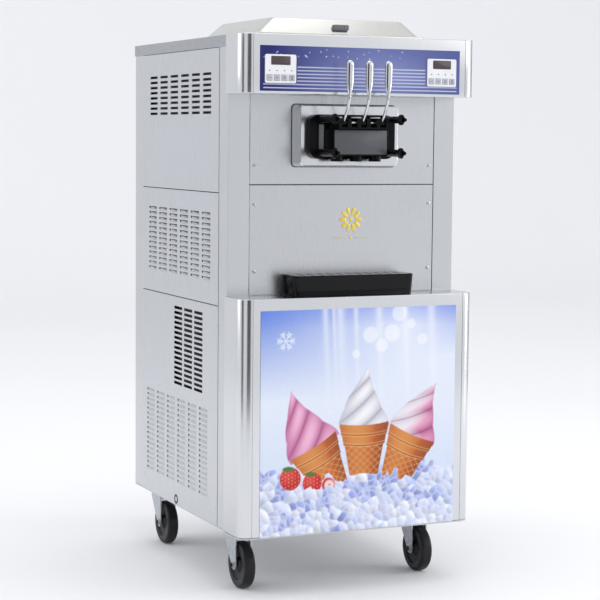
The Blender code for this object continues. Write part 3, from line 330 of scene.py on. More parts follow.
class Graph:
    """A material's nodes, written one after another."""

    def __init__(self, name: str) -> None:
        """Starts a new material with a bare Principled shader.

        Args:
            name: the material's name.
        """
        self.material = bpy.data.materials.new(name)
        self.material.use_nodes = True
        self.tree = self.material.node_tree
        self.shader = self.tree.nodes["Principled BSDF"]

    def node(self, kind: str, settings: dict | None = None, **inputs) -> bpy.types.Node:
        """Adds a node.

        Args:
            kind: its type without the ShaderNode prefix.
            settings: attributes to set on it.
            **inputs: values or output sockets for its inputs, with _ for a space.

        Returns:
            The node.
        """
        made = self.tree.nodes.new(f"ShaderNode{kind}")
        for key, value in (settings or {}).items():
            setattr(made, key, value)
        for key, value in inputs.items():
            self.feed(made.inputs[key.replace("_", " ")], value)
        return made

    def feed(self, socket: bpy.types.NodeSocket, value: object) -> None:
        """Links an output to a socket, or sets the socket's own value.

        Args:
            socket: the input that is fed.
            value: an output socket or a plain value.
        """
        if isinstance(value, bpy.types.NodeSocket):
            self.tree.links.new(value, socket)
        else:
            socket.default_value = value

    def surface(self, **inputs) -> bpy.types.Material:
        """Sets the shader's sockets.

        Args:
            **inputs: values or output sockets for its inputs, with _ for a space.

        Returns:
            The material.
        """
        for key, value in inputs.items():
            self.feed(self.shader.inputs[key.replace("_", " ")], value)
        return self.material

    def place(self, scale: tuple[float, float, float] = (1, 1, 1)) -> bpy.types.NodeSocket:
        """Object coordinates, stretched by a scale along each axis."""
        source = self.node("TexCoord").outputs["Object"]
        return self.node("Mapping", Vector=source, Scale=scale).outputs["Vector"]

    def noise(
        self, scale: float, detail: float = 4.0, stretch: tuple[float, float, float] = (1, 1, 1)
    ) -> bpy.types.NodeSocket:
        """Noise from 0 to 1 over the object.

        Args:
            scale: spots per metre.
            detail: how many finer layers.
            stretch: scale of each axis first.

        Returns:
            The factor socket.
        """
        made = self.node("TexNoise", Vector=self.place(stretch), Scale=scale, Detail=detail)
        return made.outputs["Fac"]

    def ramp(self, factor: bpy.types.NodeSocket, low: float, high: float) -> bpy.types.NodeSocket:
        """A factor mapped from 0..1 to low..high, kept inside them."""
        made = self.node("MapRange", Value=factor, To_Min=low, To_Max=high)
        return made.outputs["Result"]

    def shade(self, factor: bpy.types.NodeSocket, first: Colour, second: Colour) -> bpy.types.NodeSocket:
        """A colour between two by a factor.

        Args:
            factor: 0 for the first colour and 1 for the second.
            first: the colour at 0.
            second: the colour at 1.

        Returns:
            The colour socket.
        """
        made = self.node("ValToRGB", Fac=factor)
        for element, colour in zip(made.color_ramp.elements, (first, second)):
            element.color = (*colour, 1)
        return made.outputs["Color"]

    def bump(
        self, height: bpy.types.NodeSocket, distance: float, strength: float = 1.0
    ) -> bpy.types.NodeSocket:
        """A normal from a height, in metres of relief."""
        return self.node("Bump", Height=height, Distance=distance, Strength=strength).outputs["Normal"]


def scaled(colour: Colour, share: float) -> Colour:
    """A colour made lighter or darker by a share."""
    return tuple(min(channel * share, 1.0) for channel in colour)


@dataclass(frozen=True)
class BrushedSheet:
    """Stainless sheet with long fine scratches, cloudy patches and a soft shine."""

    name: str
    colour: Colour = (0.60, 0.612, 0.632)
    roughness: float = 0.27
    grain: Grain = Grain.UPRIGHT

    def material(self) -> bpy.types.Material:
        """Streaks stretched along the grain drive colour, roughness and relief; clouds vary the shine.

        Returns:
            The material.
        """
        graph = Graph(self.name)
        streaks = graph.noise(1.0, 6.0, self.grain.value)
        clouds = graph.noise(7.0, 3.0)
        mixer = graph.node("Math", {"operation": "MULTIPLY_ADD"})
        graph.feed(mixer.inputs[0], clouds)
        graph.feed(mixer.inputs[1], 0.45)
        graph.feed(mixer.inputs[2], graph.ramp(streaks, 0.0, 0.55))
        both = mixer.outputs[0]
        return graph.surface(
            Base_Color=graph.shade(both, scaled(self.colour, 0.965), scaled(self.colour, 1.035)),
            Metallic=1.0,
            Roughness=graph.ramp(both, self.roughness - 0.05, self.roughness + 0.07),
            Normal=graph.bump(streaks, 0.00001, 0.05),
        )


@dataclass(frozen=True)
class PolishedMetal:
    """Plated or polished metal with faint smears and pits."""

    name: str
    colour: Colour
    roughness: float = 0.08
    smear: float = 0.08

    def material(self) -> bpy.types.Material:
        """Patches of noise lift the roughness, and a fine layer gives the surface its relief.

        Returns:
            The material.
        """
        graph = Graph(self.name)
        patches = graph.noise(28.0, 5.0)
        return graph.surface(
            Base_Color=graph.shade(patches, scaled(self.colour, 0.93), self.colour),
            Metallic=1.0,
            Roughness=graph.ramp(patches, self.roughness, self.roughness + self.smear),
            Normal=graph.bump(graph.noise(420.0, 3.0), 0.00002, 0.4),
        )


@dataclass(frozen=True)
class Spangle:
    """Zinc plate with its crystal flowers."""

    name: str
    colour: Colour = (0.50, 0.52, 0.55)

    def material(self) -> bpy.types.Material:
        """Cells of a Voronoi pattern each take their own grey and their own shine.

        Returns:
            The material.
        """
        graph = Graph(self.name)
        cells = graph.node("TexVoronoi", Vector=graph.place(), Scale=160.0).outputs["Color"]
        grey = graph.node("RGBToBW", Color=cells).outputs[0]
        return graph.surface(
            Base_Color=graph.shade(grey, scaled(self.colour, 0.8), scaled(self.colour, 1.15)),
            Metallic=1.0,
            Roughness=graph.ramp(grey, 0.26, 0.48),
            Normal=graph.bump(graph.noise(300.0, 4.0), 0.00004, 0.5),
        )


@dataclass(frozen=True)
class Moulded:
    """Moulded plastic: an even colour with fine orange peel and faint wear."""

    name: str
    colour: Colour
    roughness: float = 0.28
    peel: float = 0.00004
    coat: float = 0.0
    shine: float = 0.5

    def material(self) -> bpy.types.Material:
        """Fine noise gives the peel, and broad noise shifts colour and roughness a little.

        Returns:
            The material.
        """
        graph = Graph(self.name)
        broad = graph.noise(16.0, 4.0)
        return graph.surface(
            Coat_Weight=self.coat,
            Coat_Roughness=0.08,
            Specular_IOR_Level=self.shine,
            Base_Color=graph.shade(broad, scaled(self.colour, 0.88), scaled(self.colour, 1.10)),
            Roughness=graph.ramp(broad, self.roughness - 0.05, self.roughness + 0.08),
            Normal=graph.bump(graph.noise(520.0, 2.0), self.peel, 0.5),
        )


@dataclass(frozen=True)
class Rubber:
    """Soft black rubber, dusty in its hollows; its plain black also serves as painted shade in gaps."""

    name: str
    colour: Colour = (0.018, 0.018, 0.020)

    def material(self) -> bpy.types.Material:
        """Grainy noise roughens it, and patches of dust lighten it.

        Returns:
            The material.
        """
        graph = Graph(self.name)
        dust = graph.noise(45.0, 6.0)
        return graph.surface(
            Base_Color=graph.shade(dust, self.colour, scaled(self.colour, 2.6)),
            Roughness=graph.ramp(dust, 0.42, 0.70),
            Normal=graph.bump(graph.noise(900.0, 4.0), 0.00008, 0.6),
        )


@dataclass(frozen=True)
class Castings:
    """Painted cast iron: thick paint over a sandy surface."""

    name: str
    colour: Colour = (0.035, 0.036, 0.040)

    def material(self) -> bpy.types.Material:
        """Coarse grain under the paint gives relief, and scuffs change its shine.

        Returns:
            The material.
        """
        graph = Graph(self.name)
        scuffs = graph.noise(32.0, 6.0)
        return graph.surface(
            Base_Color=graph.shade(scuffs, self.colour, scaled(self.colour, 1.9)),
            Roughness=graph.ramp(scuffs, 0.35, 0.62),
            Normal=graph.bump(graph.noise(260.0, 5.0), 0.0003, 0.6),
        )


@dataclass(frozen=True)
class PrintedFilm:
    """Glossy printed film, whose picture is the colour attribute on its mesh."""

    name: str
    roughness: float = 0.16

    def material(self) -> bpy.types.Material:
        """The attribute is the ink, a fine halftone grain breaks it up, and noise marks the gloss.

        Returns:
            The material.
        """
        graph = Graph(self.name)
        ink = graph.node("VertexColor", {"layer_name": "ink"}).outputs["Color"]
        grain = graph.ramp(graph.noise(900.0, 2.0), 0.94, 1.05)
        tinted = graph.node("VectorMath", {"operation": "SCALE"})
        graph.feed(tinted.inputs[0], ink)
        graph.feed(tinted.inputs["Scale"], grain)
        return graph.surface(
            Base_Color=tinted.outputs[0],
            Roughness=graph.ramp(graph.noise(12.0, 4.0), self.roughness, self.roughness + 0.12),
            Normal=graph.bump(graph.noise(60.0, 3.0), 0.00002, 0.4),
        )


class Stock:
    """Every finish of the machine, each made once."""

    def __init__(self) -> None:
        """Makes the materials."""
        made = {
            "sheet": BrushedSheet("brushed_sheet"),
            "front": BrushedSheet("front_sheet", (0.575, 0.585, 0.605)),
            "shell": BrushedSheet("casing_sheet", (0.68, 0.69, 0.705), 0.19),
            "top": BrushedSheet("top_sheet", (0.40, 0.41, 0.43), 0.26, Grain.ALONG_DEPTH),
            "lid": BrushedSheet("lid_sheet", (0.66, 0.655, 0.62), 0.26, Grain.ACROSS),
            "frame": BrushedSheet("frame_sheet", (0.60, 0.61, 0.625), 0.22),
            "inner": BrushedSheet("inner_sheet", (0.58, 0.59, 0.61), 0.36),
            "chrome": PolishedMetal("chrome", (0.66, 0.67, 0.69), 0.05, 0.06),
            "screw": PolishedMetal("screw_steel", (0.62, 0.62, 0.64), 0.22, 0.14),
            "gold": PolishedMetal("gilding", (0.80, 0.62, 0.12), 0.24, 0.12),
            "zinc": Spangle("zinc_plate"),
            "black": Moulded("black_moulding", (0.003, 0.003, 0.004), 0.24, shine=0.12),
            "grip": Moulded("grip_moulding", (0.16, 0.165, 0.18), 0.36),
            "white": Moulded("white_moulding", (0.80, 0.81, 0.83), 0.38),
            "key": Moulded("key_moulding", (0.46, 0.47, 0.52), 0.42),
            "glyph": Moulded("key_mark", (0.06, 0.06, 0.09), 0.50),
            "window": Moulded("display_window", (0.060, 0.040, 0.044), 0.16, 0.00001, 0.1),
            "gloss": Moulded("gloss_front", (0.060, 0.064, 0.072), 0.30, 0.00001, 0.35),
            "satin": Moulded("satin_black", (0.0015, 0.0015, 0.002), 0.16, shine=0.22),
            "pane": Moulded("window_bottom", (0.36, 0.37, 0.39), 0.40),
            "tyre": Moulded("tyre_black", (0.008, 0.008, 0.009), 0.36, shine=0.30),
            "foam": Rubber("filter_foam", (0.010, 0.010, 0.011)),
            "lens": Moulded("lamp_lens", (0.05, 0.04, 0.05), 0.14, 0.00001, 0.5),
            "nylon": Moulded("nylon", (0.74, 0.74, 0.71), 0.46),
            # This black is painted shade: it fills the gaps between sheets and the ring round the head's
            # plate.
            "rubber": Rubber("rubber"),
            "iron": Castings("painted_iron"),
            "copper": BrushedSheet("fin_sheet", (0.52, 0.36, 0.27), 0.42, Grain.ALONG_DEPTH),
            "print": PrintedFilm("poster_film", 0.20),
            "overlay": PrintedFilm("overlay_film", 0.10),
        }
        self.materials = {key: finish.material() for key, finish in made.items()}

    def __getitem__(self, key: str) -> bpy.types.Material:
        """The material of one finish."""
        return self.materials[key]


STOCK = Stock()


# ---------------------------------------------------------------- pieces


def place(name: str, mesh: bpy.types.Mesh, finish: str, body: str) -> bpy.types.Object:
    """Puts a finished mesh into the scene on its body.

    Args:
        name: the piece's name.
        mesh: its mesh, in the frame's own place.
        finish: its finish's key.
        body: the body that it moves with.

    Returns:
        The object.
    """
    made = bpy.data.objects.new(name, mesh)
    bpy.context.scene.collection.objects.link(made)
    mesh.materials.append(STOCK[finish])
    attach(made, body)
    LOG.info("%s: %d faces on %s", name, len(mesh.polygons), body)
    return made


def shaded(mesh: bpy.types.Mesh, angle: float = 35.0) -> None:
    """Smooth shading, with edges sharper than an angle in degrees kept hard."""
    mesh.shade_smooth()
    mesh.set_sharp_from_angle(angle=math.radians(angle))


def build(name: str, shape: Shape, finish: str, body: str = CABINET, angle: float = 35.0) -> bpy.types.Object:
    """A new piece from a shape whose surfaces are closed, with its faces turned outwards.

    Args:
        name: the piece's name.
        shape: its points and faces.
        finish: its finish's key.
        body: the body that it moves with.
        angle: edges sharper than this many degrees stay hard.

    Returns:
        The object.
    """
    mesh = shape.mesh(name)
    work = bmesh.new()
    work.from_mesh(mesh)
    bmesh.ops.recalc_face_normals(work, faces=work.faces)
    work.to_mesh(mesh)
    work.free()
    shaded(mesh, angle)
    return place(name, mesh, finish, body)


def bevelled(piece: bpy.types.Object, width: float, segments: int = 2) -> None:
    """Breaks a piece's sharp edges with a small round bevel.

    Args:
        piece: the object.
        width: how wide the bevel is.
        segments: how many flats make it round.
    """
    piece.data.shade_smooth()
    bevel = piece.modifiers.new("edge_break", "BEVEL")
    bevel.width = width
    bevel.segments = segments
    bevel.limit_method = "ANGLE"
    bevel.angle_limit = math.radians(30)
    even = piece.modifiers.new("flat_faces", "WEIGHTED_NORMAL")
    even.mode = "FACE_AREA"
    even.weight = 100


def softened(node: str, finish: str, width: float = 0.0004) -> bpy.types.Object:
    """A copy of a frame node with merged faces and broken edges, in place of the node.

    Args:
        node: the node's name.
        finish: the finish's key.
        width: how wide its edges are broken.

    Returns:
        The new piece, which rides on the node's body.
    """
    source = frame["nodes"][node]
    mesh = source.data.copy()
    mesh.materials.clear()
    work = bmesh.new()
    work.from_mesh(mesh)
    bmesh.ops.remove_doubles(work, verts=work.verts, dist=0.000002)
    bmesh.ops.dissolve_limit(
        work, angle_limit=math.radians(1), verts=work.verts, edges=work.edges, use_dissolve_boundaries=False
    )
    work.to_mesh(mesh)
    work.free()
    piece = place(f"{node}_finished", mesh, finish, source["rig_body"])
    bevelled(piece, width)
    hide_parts(node)
    return piece


def dress(node: str, finish: str) -> None:
    """Gives a frame node that stays visible its own finish.

    Args:
        node: the node's name.
        finish: the finish's key.
    """
    mesh = frame["nodes"][node].data
    mesh.materials.clear()
    mesh.materials.append(STOCK[finish])


def joint_place(name: str) -> Vector:
    """The point that a joint turns about."""
    return Vector(next(joint["pos_m"] for joint in frame["joints"] if joint["name"] == name))


BODY_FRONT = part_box("chassis_frame")[0].y


# ---------------------------------------------------------------- cabinet


@dataclass
class Cabinet:
    """The sheet metal body: uprights, flat panels, top sheet and floor."""

    edge: float = 0.0006
    fold: float = 0.0012

    def build(self) -> None:
        """Finishes every flat sheet with broken edges."""
        softened("chassis_frame", "frame", self.fold)
        softened("top_cover", "top", self.fold)
        softened("base_pan", "inner", self.edge)
        softened("back_panel", "sheet", self.edge)
        softened("front_upper_panel", "front", self.edge)
        softened("front_lower_panel", "front", self.edge)

    def dress(self) -> None:
        """Gives the inner works their finishes."""
        for side in ("left", "right"):
            dress(f"freezing_cylinder_{side}", "inner")
            dress(f"beater_{side}", "nylon")
        dress("drive_unit", "iron")
        dress("compressor", "iron")
        dress("condenser", "copper")
        dress("condenser_fan", "nylon")


@dataclass(frozen=True)
class Slots:
    """A grid of openings cut right through a sheet; middle is (Y, Z) of the grid's centre."""

    columns: int
    rows: int
    length: float
    height: float
    pitch: float
    rise: float
    middle: tuple[float, float]

    def centres(self) -> tuple[Array, Array]:
        """The grid's centre lines.

        Returns:
            Y of each column and Z of each row.
        """
        across = (np.arange(self.columns) - (self.columns - 1) / 2) * self.pitch + self.middle[0]
        up = (np.arange(self.rows) - (self.rows - 1) / 2) * self.rise + self.middle[1]
        return across, up


@dataclass
class PressedSheet:
    """A side panel with open slots and inward louvres, on one grid of lines."""

    node: str
    sign: int
    slots: Slots | None
    louvres: Slots | None
    wall: float = 0.0014
    depth: float = 0.0042
    across_steps: tuple[float, ...] = (0.0, 0.03, 0.08, 0.5, 0.92, 0.97, 1.0)
    up_steps: tuple[float, ...] = (0.0, 0.10, 0.30, 0.55, 0.78, 1.0)
    lip_from: float = 0.78
    end_from: float = 0.465
    beside_from: float = 0.30

    def lines(self) -> tuple[Array, Array]:
        """The grid's lines: the panel's edges and every feature's own steps.

        Returns:
            The Y lines and the Z lines.
        """
        low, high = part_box(self.node)
        across, up = [np.array([low.y, high.y])], [np.array([low.z, high.z])]
        for group, y_steps, z_steps in (
            (self.slots, (0.0, 1.0), (0.0, 1.0)),
            (self.louvres, self.across_steps, self.up_steps),
        ):
            if group is None:
                continue
            columns, rows = group.centres()
            across.append((columns[:, None] + (np.array(y_steps) - 0.5) * group.length).ravel())
            up.append((rows[:, None] + (np.array(z_steps) - 0.5) * group.height).ravel())
        return np.unique(np.round(np.concatenate(across), 6)), np.unique(np.round(np.concatenate(up), 6))

    def relief(self, y: Array, z: Array) -> Array:
        """How deep the sheet is pressed in: each louvre slopes in towards its upper lip, with steep ends.

        Args:
            y: Y of each grid point.
            z: Z of each grid point.

        Returns:
            The depth of each point.
        """
        group = self.louvres
        if group is None:
            return np.zeros_like(y)
        columns, rows = group.centres()
        u = np.abs(y[..., None] - columns).min(axis=-1) / group.length * 2
        nearest = np.abs(z[..., None] - rows).argmin(axis=-1)
        v = (z - rows[nearest]) / group.height + 0.5
        ends = np.clip((1 - u) / 0.14, 0, 1)
        slope = np.where((v > 0) & (v < 0.985), np.clip(v / self.lip_from, 0, 1) ** 0.8, 0)
        return self.depth * np.sqrt(ends) * slope

    def openings(self, y: Array, z: Array) -> Array:
        """Which faces are left out, from the middles of the faces.

        Args:
            y: Y of each face's middle.
            z: Z of each face's middle.

        Returns:
            True where the sheet is cut away.
        """
        cut = np.zeros(y.shape, bool)
        if self.slots is not None:
            columns, rows = self.slots.centres()
            in_column = (np.abs(y[..., None] - columns) < self.slots.length / 2).any(axis=-1)
            in_row = (np.abs(z[..., None] - rows) < self.slots.height / 2).any(axis=-1)
            cut |= in_column & in_row
        if self.louvres is not None:
            columns, rows = self.louvres.centres()
            from_back = (y[..., None] - columns) / self.louvres.length
            inside = (np.abs(from_back) < 0.5).any(axis=-1)
            at_end = ((from_back > self.end_from) & (from_back < 0.5)).any(axis=-1)
            share = (z[..., None] - rows) / self.louvres.height + 0.5
            at_lip = ((share > self.lip_from) & (share < 1)).any(axis=-1)
            beside = ((share > self.beside_from) & (share < 1)).any(axis=-1)
            cut |= (inside & at_lip) | (at_end & beside)
        return cut

    def build(self) -> None:
        """Presses the sheet, leaves the openings out and gives it its wall."""
        y_lines, z_lines = self.lines()
        y, z = np.meshgrid(y_lines, z_lines, indexing="ij")
        low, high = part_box(self.node)
        outer = high.x if self.sign > 0 else low.x
        x = outer - self.sign * self.relief(y, z)
        shape = grid_shape(np.stack([x, y, z], axis=-1))
        quads = shape.faces[0]
        middle = shape.points[quads].mean(axis=1)
        kept = quads[~self.openings(middle[:, 1], middle[:, 2])]
        if self.sign < 0:
            kept = kept[:, ::-1]
        mesh = Shape(shape.points, [kept]).mesh(f"{self.node}_pressed")
        work = bmesh.new()
        work.from_mesh(mesh)
        bmesh.ops.delete(work, geom=[vert for vert in work.verts if not vert.link_faces], context="VERTS")
        bmesh.ops.solidify(work, geom=work.faces, thickness=self.wall)
        work.to_mesh(mesh)
        work.free()
        shaded(mesh, 20)
        piece = place(f"{self.node}_pressed", mesh, "sheet", CABINET)
        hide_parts(self.node)


@dataclass
class SidePanels:
    """Three pressed sheets on each side.

    The middle of each grid here is its distance behind the body's front and below its panel's top edge.
    """

    upper_slots: Slots = Slots(
        6, 8, length=0.047, height=0.0055, pitch=0.066, rise=0.0116, middle=(0.2825, 0.0924)
    )
    middle_louvres: Slots = Slots(
        6, 13, length=0.049, height=0.0078, pitch=0.0667, rise=0.0114, middle=(0.2862, 0.1145)
    )
    lower_slots: Slots = Slots(
        3, 16, length=0.050, height=0.0065, pitch=0.0615, rise=0.0112, middle=(0.225, 0.108)
    )
    lower_louvres: Slots = Slots(
        6, 17, length=0.049, height=0.0078, pitch=0.0667, rise=0.0114, middle=(0.2980, 0.3220)
    )

    def build(self) -> None:
        """Builds the upper, middle and lower sheet on both sides."""
        levels = {
            "upper": (self.upper_slots, None),
            "middle": (None, self.middle_louvres),
            "lower": (self.lower_slots, self.lower_louvres),
        }
        for side, sign in (("left", -1), ("right", 1)):
            for level, grids in levels.items():
                node = f"{side}_{level}_panel"
                slots, louvres = (self.placed(grid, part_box(node)[1].z) for grid in grids)
                PressedSheet(node, sign, slots, louvres).build()

    def placed(self, grid: Slots | None, top: float) -> Slots | None:
        """A grid moved onto its panel.

        Args:
            grid: the grid, or None where the panel has none.
            top: Z of the panel's top edge.

        Returns:
            The same grid with its middle in the frame's own place.
        """
        if grid is None:
            return None
        return replace(grid, middle=(BODY_FRONT + grid.middle[0], top - grid.middle[1]))


@dataclass
class FrontShell:
    """A casing with big round upright corners, a fine groove beside each and soft rims."""

    node: str
    radius: float = 0.026
    rim: float = 0.0018
    groove: float = 0.0012
    corner_steps: int = 20

    def outline(self, inset: float) -> Array:
        """The plan: back edge, round corner, groove, front face, groove, round corner.

        Args:
            inset: how far the whole outline is drawn in.

        Returns:
            Points x 2.
        """
        low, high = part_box(self.node)
        half, back, face = high.x - inset, high.y - inset, low.y + inset
        radius = self.radius - inset
        angle = np.linspace(0, math.pi / 2, self.corner_steps + 1)
        corner = np.stack([radius * np.cos(angle), -radius * np.sin(angle)], axis=-1)
        right = corner + [half - radius, face + radius]
        dip = self.groove
        start = half - radius
        notch = np.array(
            [[start - 0.2 * dip, face + dip], [start - 0.9 * dip, face + dip], [start - 1.1 * dip, face]]
        )
        side = np.concatenate([[[half, back]], right, notch])
        return np.concatenate([side, (side * [-1, 1])[::-1]])

    def build(self) -> None:
        """Lofts the outline up the height, drawn in at both rims by the quarter circle's inset."""
        low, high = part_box(self.node)
        rings = []
        for inset, level in zip(*soft_levels(low.z, high.z, self.rim)):
            outline = self.outline(inset)
            rings.append(np.column_stack([outline, np.full(len(outline), level)]))
        piece = build(f"{self.node}_shell", lofted(np.array(rings)), "shell", angle=40)
        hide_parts(self.node)


@dataclass
class Screws:
    """Round-headed screws with a cross recess."""

    radius: float = 0.0042
    rise: float = 0.0019
    recess: float = 0.0011
    arm: float = 0.0023
    cut: float = 0.00042
    side_places: tuple[tuple[float, float], ...] = (
        (0.508, 1.101), (0.508, 0.882), (0.0566, 1.1036), (0.0566, 0.878), (0.0566, 0.800),
        (0.0566, 0.640), (0.508, 0.800), (0.508, 0.640), (0.0566, 0.560), (0.508, 0.560),
        (0.0566, 0.170), (0.508, 0.170),
    )
    front_places: tuple[tuple[float, float], ...] = ((0.2045, 0.897), (0.2045, 0.8167), (0.2045, 0.6772))
    back_places: tuple[tuple[float, float], ...] = ((0.222, 1.10), (0.222, 0.62), (0.222, 0.16))

    def head(self) -> Shape:
        """A dome over a polar grid: height falls with the radius squared, less a cross-shaped dip.

        Returns:
            The head, standing along local Z.
        """
        share = np.linspace(0.05, 1, 9)[:, None]
        angle = np.linspace(0, math.tau, 32, endpoint=False)[None]
        x, y = share * self.radius * np.cos(angle), share * self.radius * np.sin(angle)
        height = self.rise * np.sqrt(np.clip(1.05 - share**2, 0, 1)) + 0 * angle
        slot = np.minimum(np.abs(x), np.abs(y)) < self.cut
        reach = np.maximum(np.abs(x), np.abs(y)) < self.arm
        height = np.where(slot & reach, height - self.recess, height)
        top = np.stack([x, y, height], axis=-1)[::-1]
        foot = top[:1] * [1, 1, 0] - [0, 0, 0.0003]
        return lofted(np.concatenate([foot, top]))

    def mirrored(self, places: tuple[tuple[float, float], ...], y: float) -> Array:
        """Every (X, Z) place and its mirror image, as points at one Y."""
        return np.array([[sign * x, y, z] for x, z in places for sign in (-1, 1)])

    def build(self) -> None:
        """Sets the screws on the sides, the front and the back."""
        head = self.head()
        shapes = []
        for side, sign in (("left", -1), ("right", 1)):
            low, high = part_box(f"{side}_middle_panel")
            x = high.x if sign > 0 else low.x
            places = np.array([[x, BODY_FRONT + y, z] for y, z in self.side_places])
            shapes.append(head.sideways(sign).repeated(places))
        front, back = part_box("front_lower_panel")[0].y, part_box("back_panel")[1].y
        shapes.append(head.facing().repeated(self.mirrored(self.front_places, front)))
        shapes.append(head.along(Axis.Y).repeated(self.mirrored(self.back_places, back)))
        build("screws", Shape.joined(shapes), "screw", angle=50)


@dataclass
class ShadowGapStrips:
    """Dark strips that sit back in the gaps between the sheets: painted shadow, black put where only the
    gaps' shade falls.
    """

    back: float = 0.0005
    depth: float = 0.0020
    margin: float = 0.0001
    gap: float = 0.001

    def upright(self, low: tuple[float, float, float], high: tuple[float, float, float]) -> Shape:
        """One strip that fills a box."""
        return box_block(Vector(low), Vector(high), Axis.Z, 0.0002, 0.0001)

    def front(self) -> list[Shape]:
        """The gap between the two front sheets, and the ones beside them.

        Returns:
            One strip for each gap.
        """
        low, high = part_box("front_lower_panel")
        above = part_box("front_upper_panel")
        face = low.y + self.back
        bottom, top = high.z + self.margin, above[0].z - self.margin
        strips = [self.upright((low.x, face, bottom), (high.x, face + self.depth, top))]
        for sign in (-1, 1):
            edges = sorted((sign * (high.x + self.margin), sign * (high.x + self.gap - self.margin)))
            strips.append(self.upright((edges[0], face, low.z), (edges[1], face + self.depth, above[1].z)))
        return strips

    def side(self, side: str, sign: int) -> list[Shape]:
        """The gaps around the three panels of one side.

        Args:
            side: left or right.
            sign: -1 for the left and 1 for the right.

        Returns:
            One strip for each gap.
        """
        panels = [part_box(f"{side}_{level}_panel") for level in ("lower", "middle", "upper")]
        low, high = panels[0]
        outer = max(abs(low.x), abs(high.x)) - self.back
        x = sorted((sign * outer, sign * (outer - self.depth * 0.4)))
        strips = []
        for below, above in zip(panels[:-1], panels[1:]):
            bottom, top = below[1].z + self.margin, above[0].z - self.margin
            strips.append(self.upright((x[0], below[0].y, bottom), (x[1], below[1].y, top)))
        for start in (low.y - self.gap + self.margin, high.y + self.margin):
            end = start + self.gap - 2 * self.margin
            strips.append(self.upright((x[0], start, low.z), (x[1], end, panels[2][1].z)))
        return strips

    def build(self) -> None:
        """Puts every strip into one piece."""
        strips = self.front() + self.side("left", -1) + self.side("right", 1)
        # Every strip is painted shadow: black in the gaps that stands for their shade.
        build("painted_shadow_strips", Shape.joined(strips), "rubber")


@dataclass
class DustFilters:
    """A pad of dark foam behind the vents of each side."""

    setback: float = 0.0080
    thickness: float = 0.0040
    margin: float = 0.0060

    def build(self) -> None:
        """One pad behind each panel, clear of the louvres' backs."""
        pads = []
        for side, sign in (("left", -1), ("right", 1)):
            for level in ("lower", "middle", "upper"):
                low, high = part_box(f"{side}_{level}_panel")
                outer = max(abs(low.x), abs(high.x))
                x = sorted((sign * (outer - self.setback), sign * (outer - self.setback - self.thickness)))
                pads.append(
                    box_block(
                        Vector((x[0], low.y + self.margin, low.z + self.margin)),
                        Vector((x[1], high.y - self.margin, high.z - self.margin)),
                        Axis.X, 0.004, 0.001,
                    )
                )
        build("dust_filters", Shape.joined(pads), "foam")


# ---------------------------------------------------------------- prints


def linear(red: float, green: float, blue: float) -> Array:
    """A screen colour of 0 to 255 as ink: each channel over 255, to the screen's power, times the paper."""
    return PAPER * (np.array([red, green, blue]) / 255) ** SCREEN_POWER


def covering(distance: Array, softness: float = 1.0) -> Array:
    """How much a shape covers, from the signed distance to its edge: 1 inside, 0 outside."""
    return np.clip(0.5 - distance / softness, 0, 1)


@dataclass
class Picture:
    """Ink on a sheet, at points in millimetres from its left and top edges."""

    x: Array
    y: Array
    ink: Array

    def lay(self, cover: Array, colour: Array) -> None:
        """Lays one ink over the picture: the old colour moves towards the new by the cover."""
        self.ink = self.ink + (colour - self.ink) * np.clip(cover, 0, 1)[:, None]

    def disc(
        self, x: float, y: float, radius: float, colour: Array, strength: float = 1.0, soft: float = 1.5
    ) -> None:
        """A round spot."""
        distance = np.hypot(self.x - x, self.y - y) - radius
        self.lay(covering(distance, soft) * strength, colour)


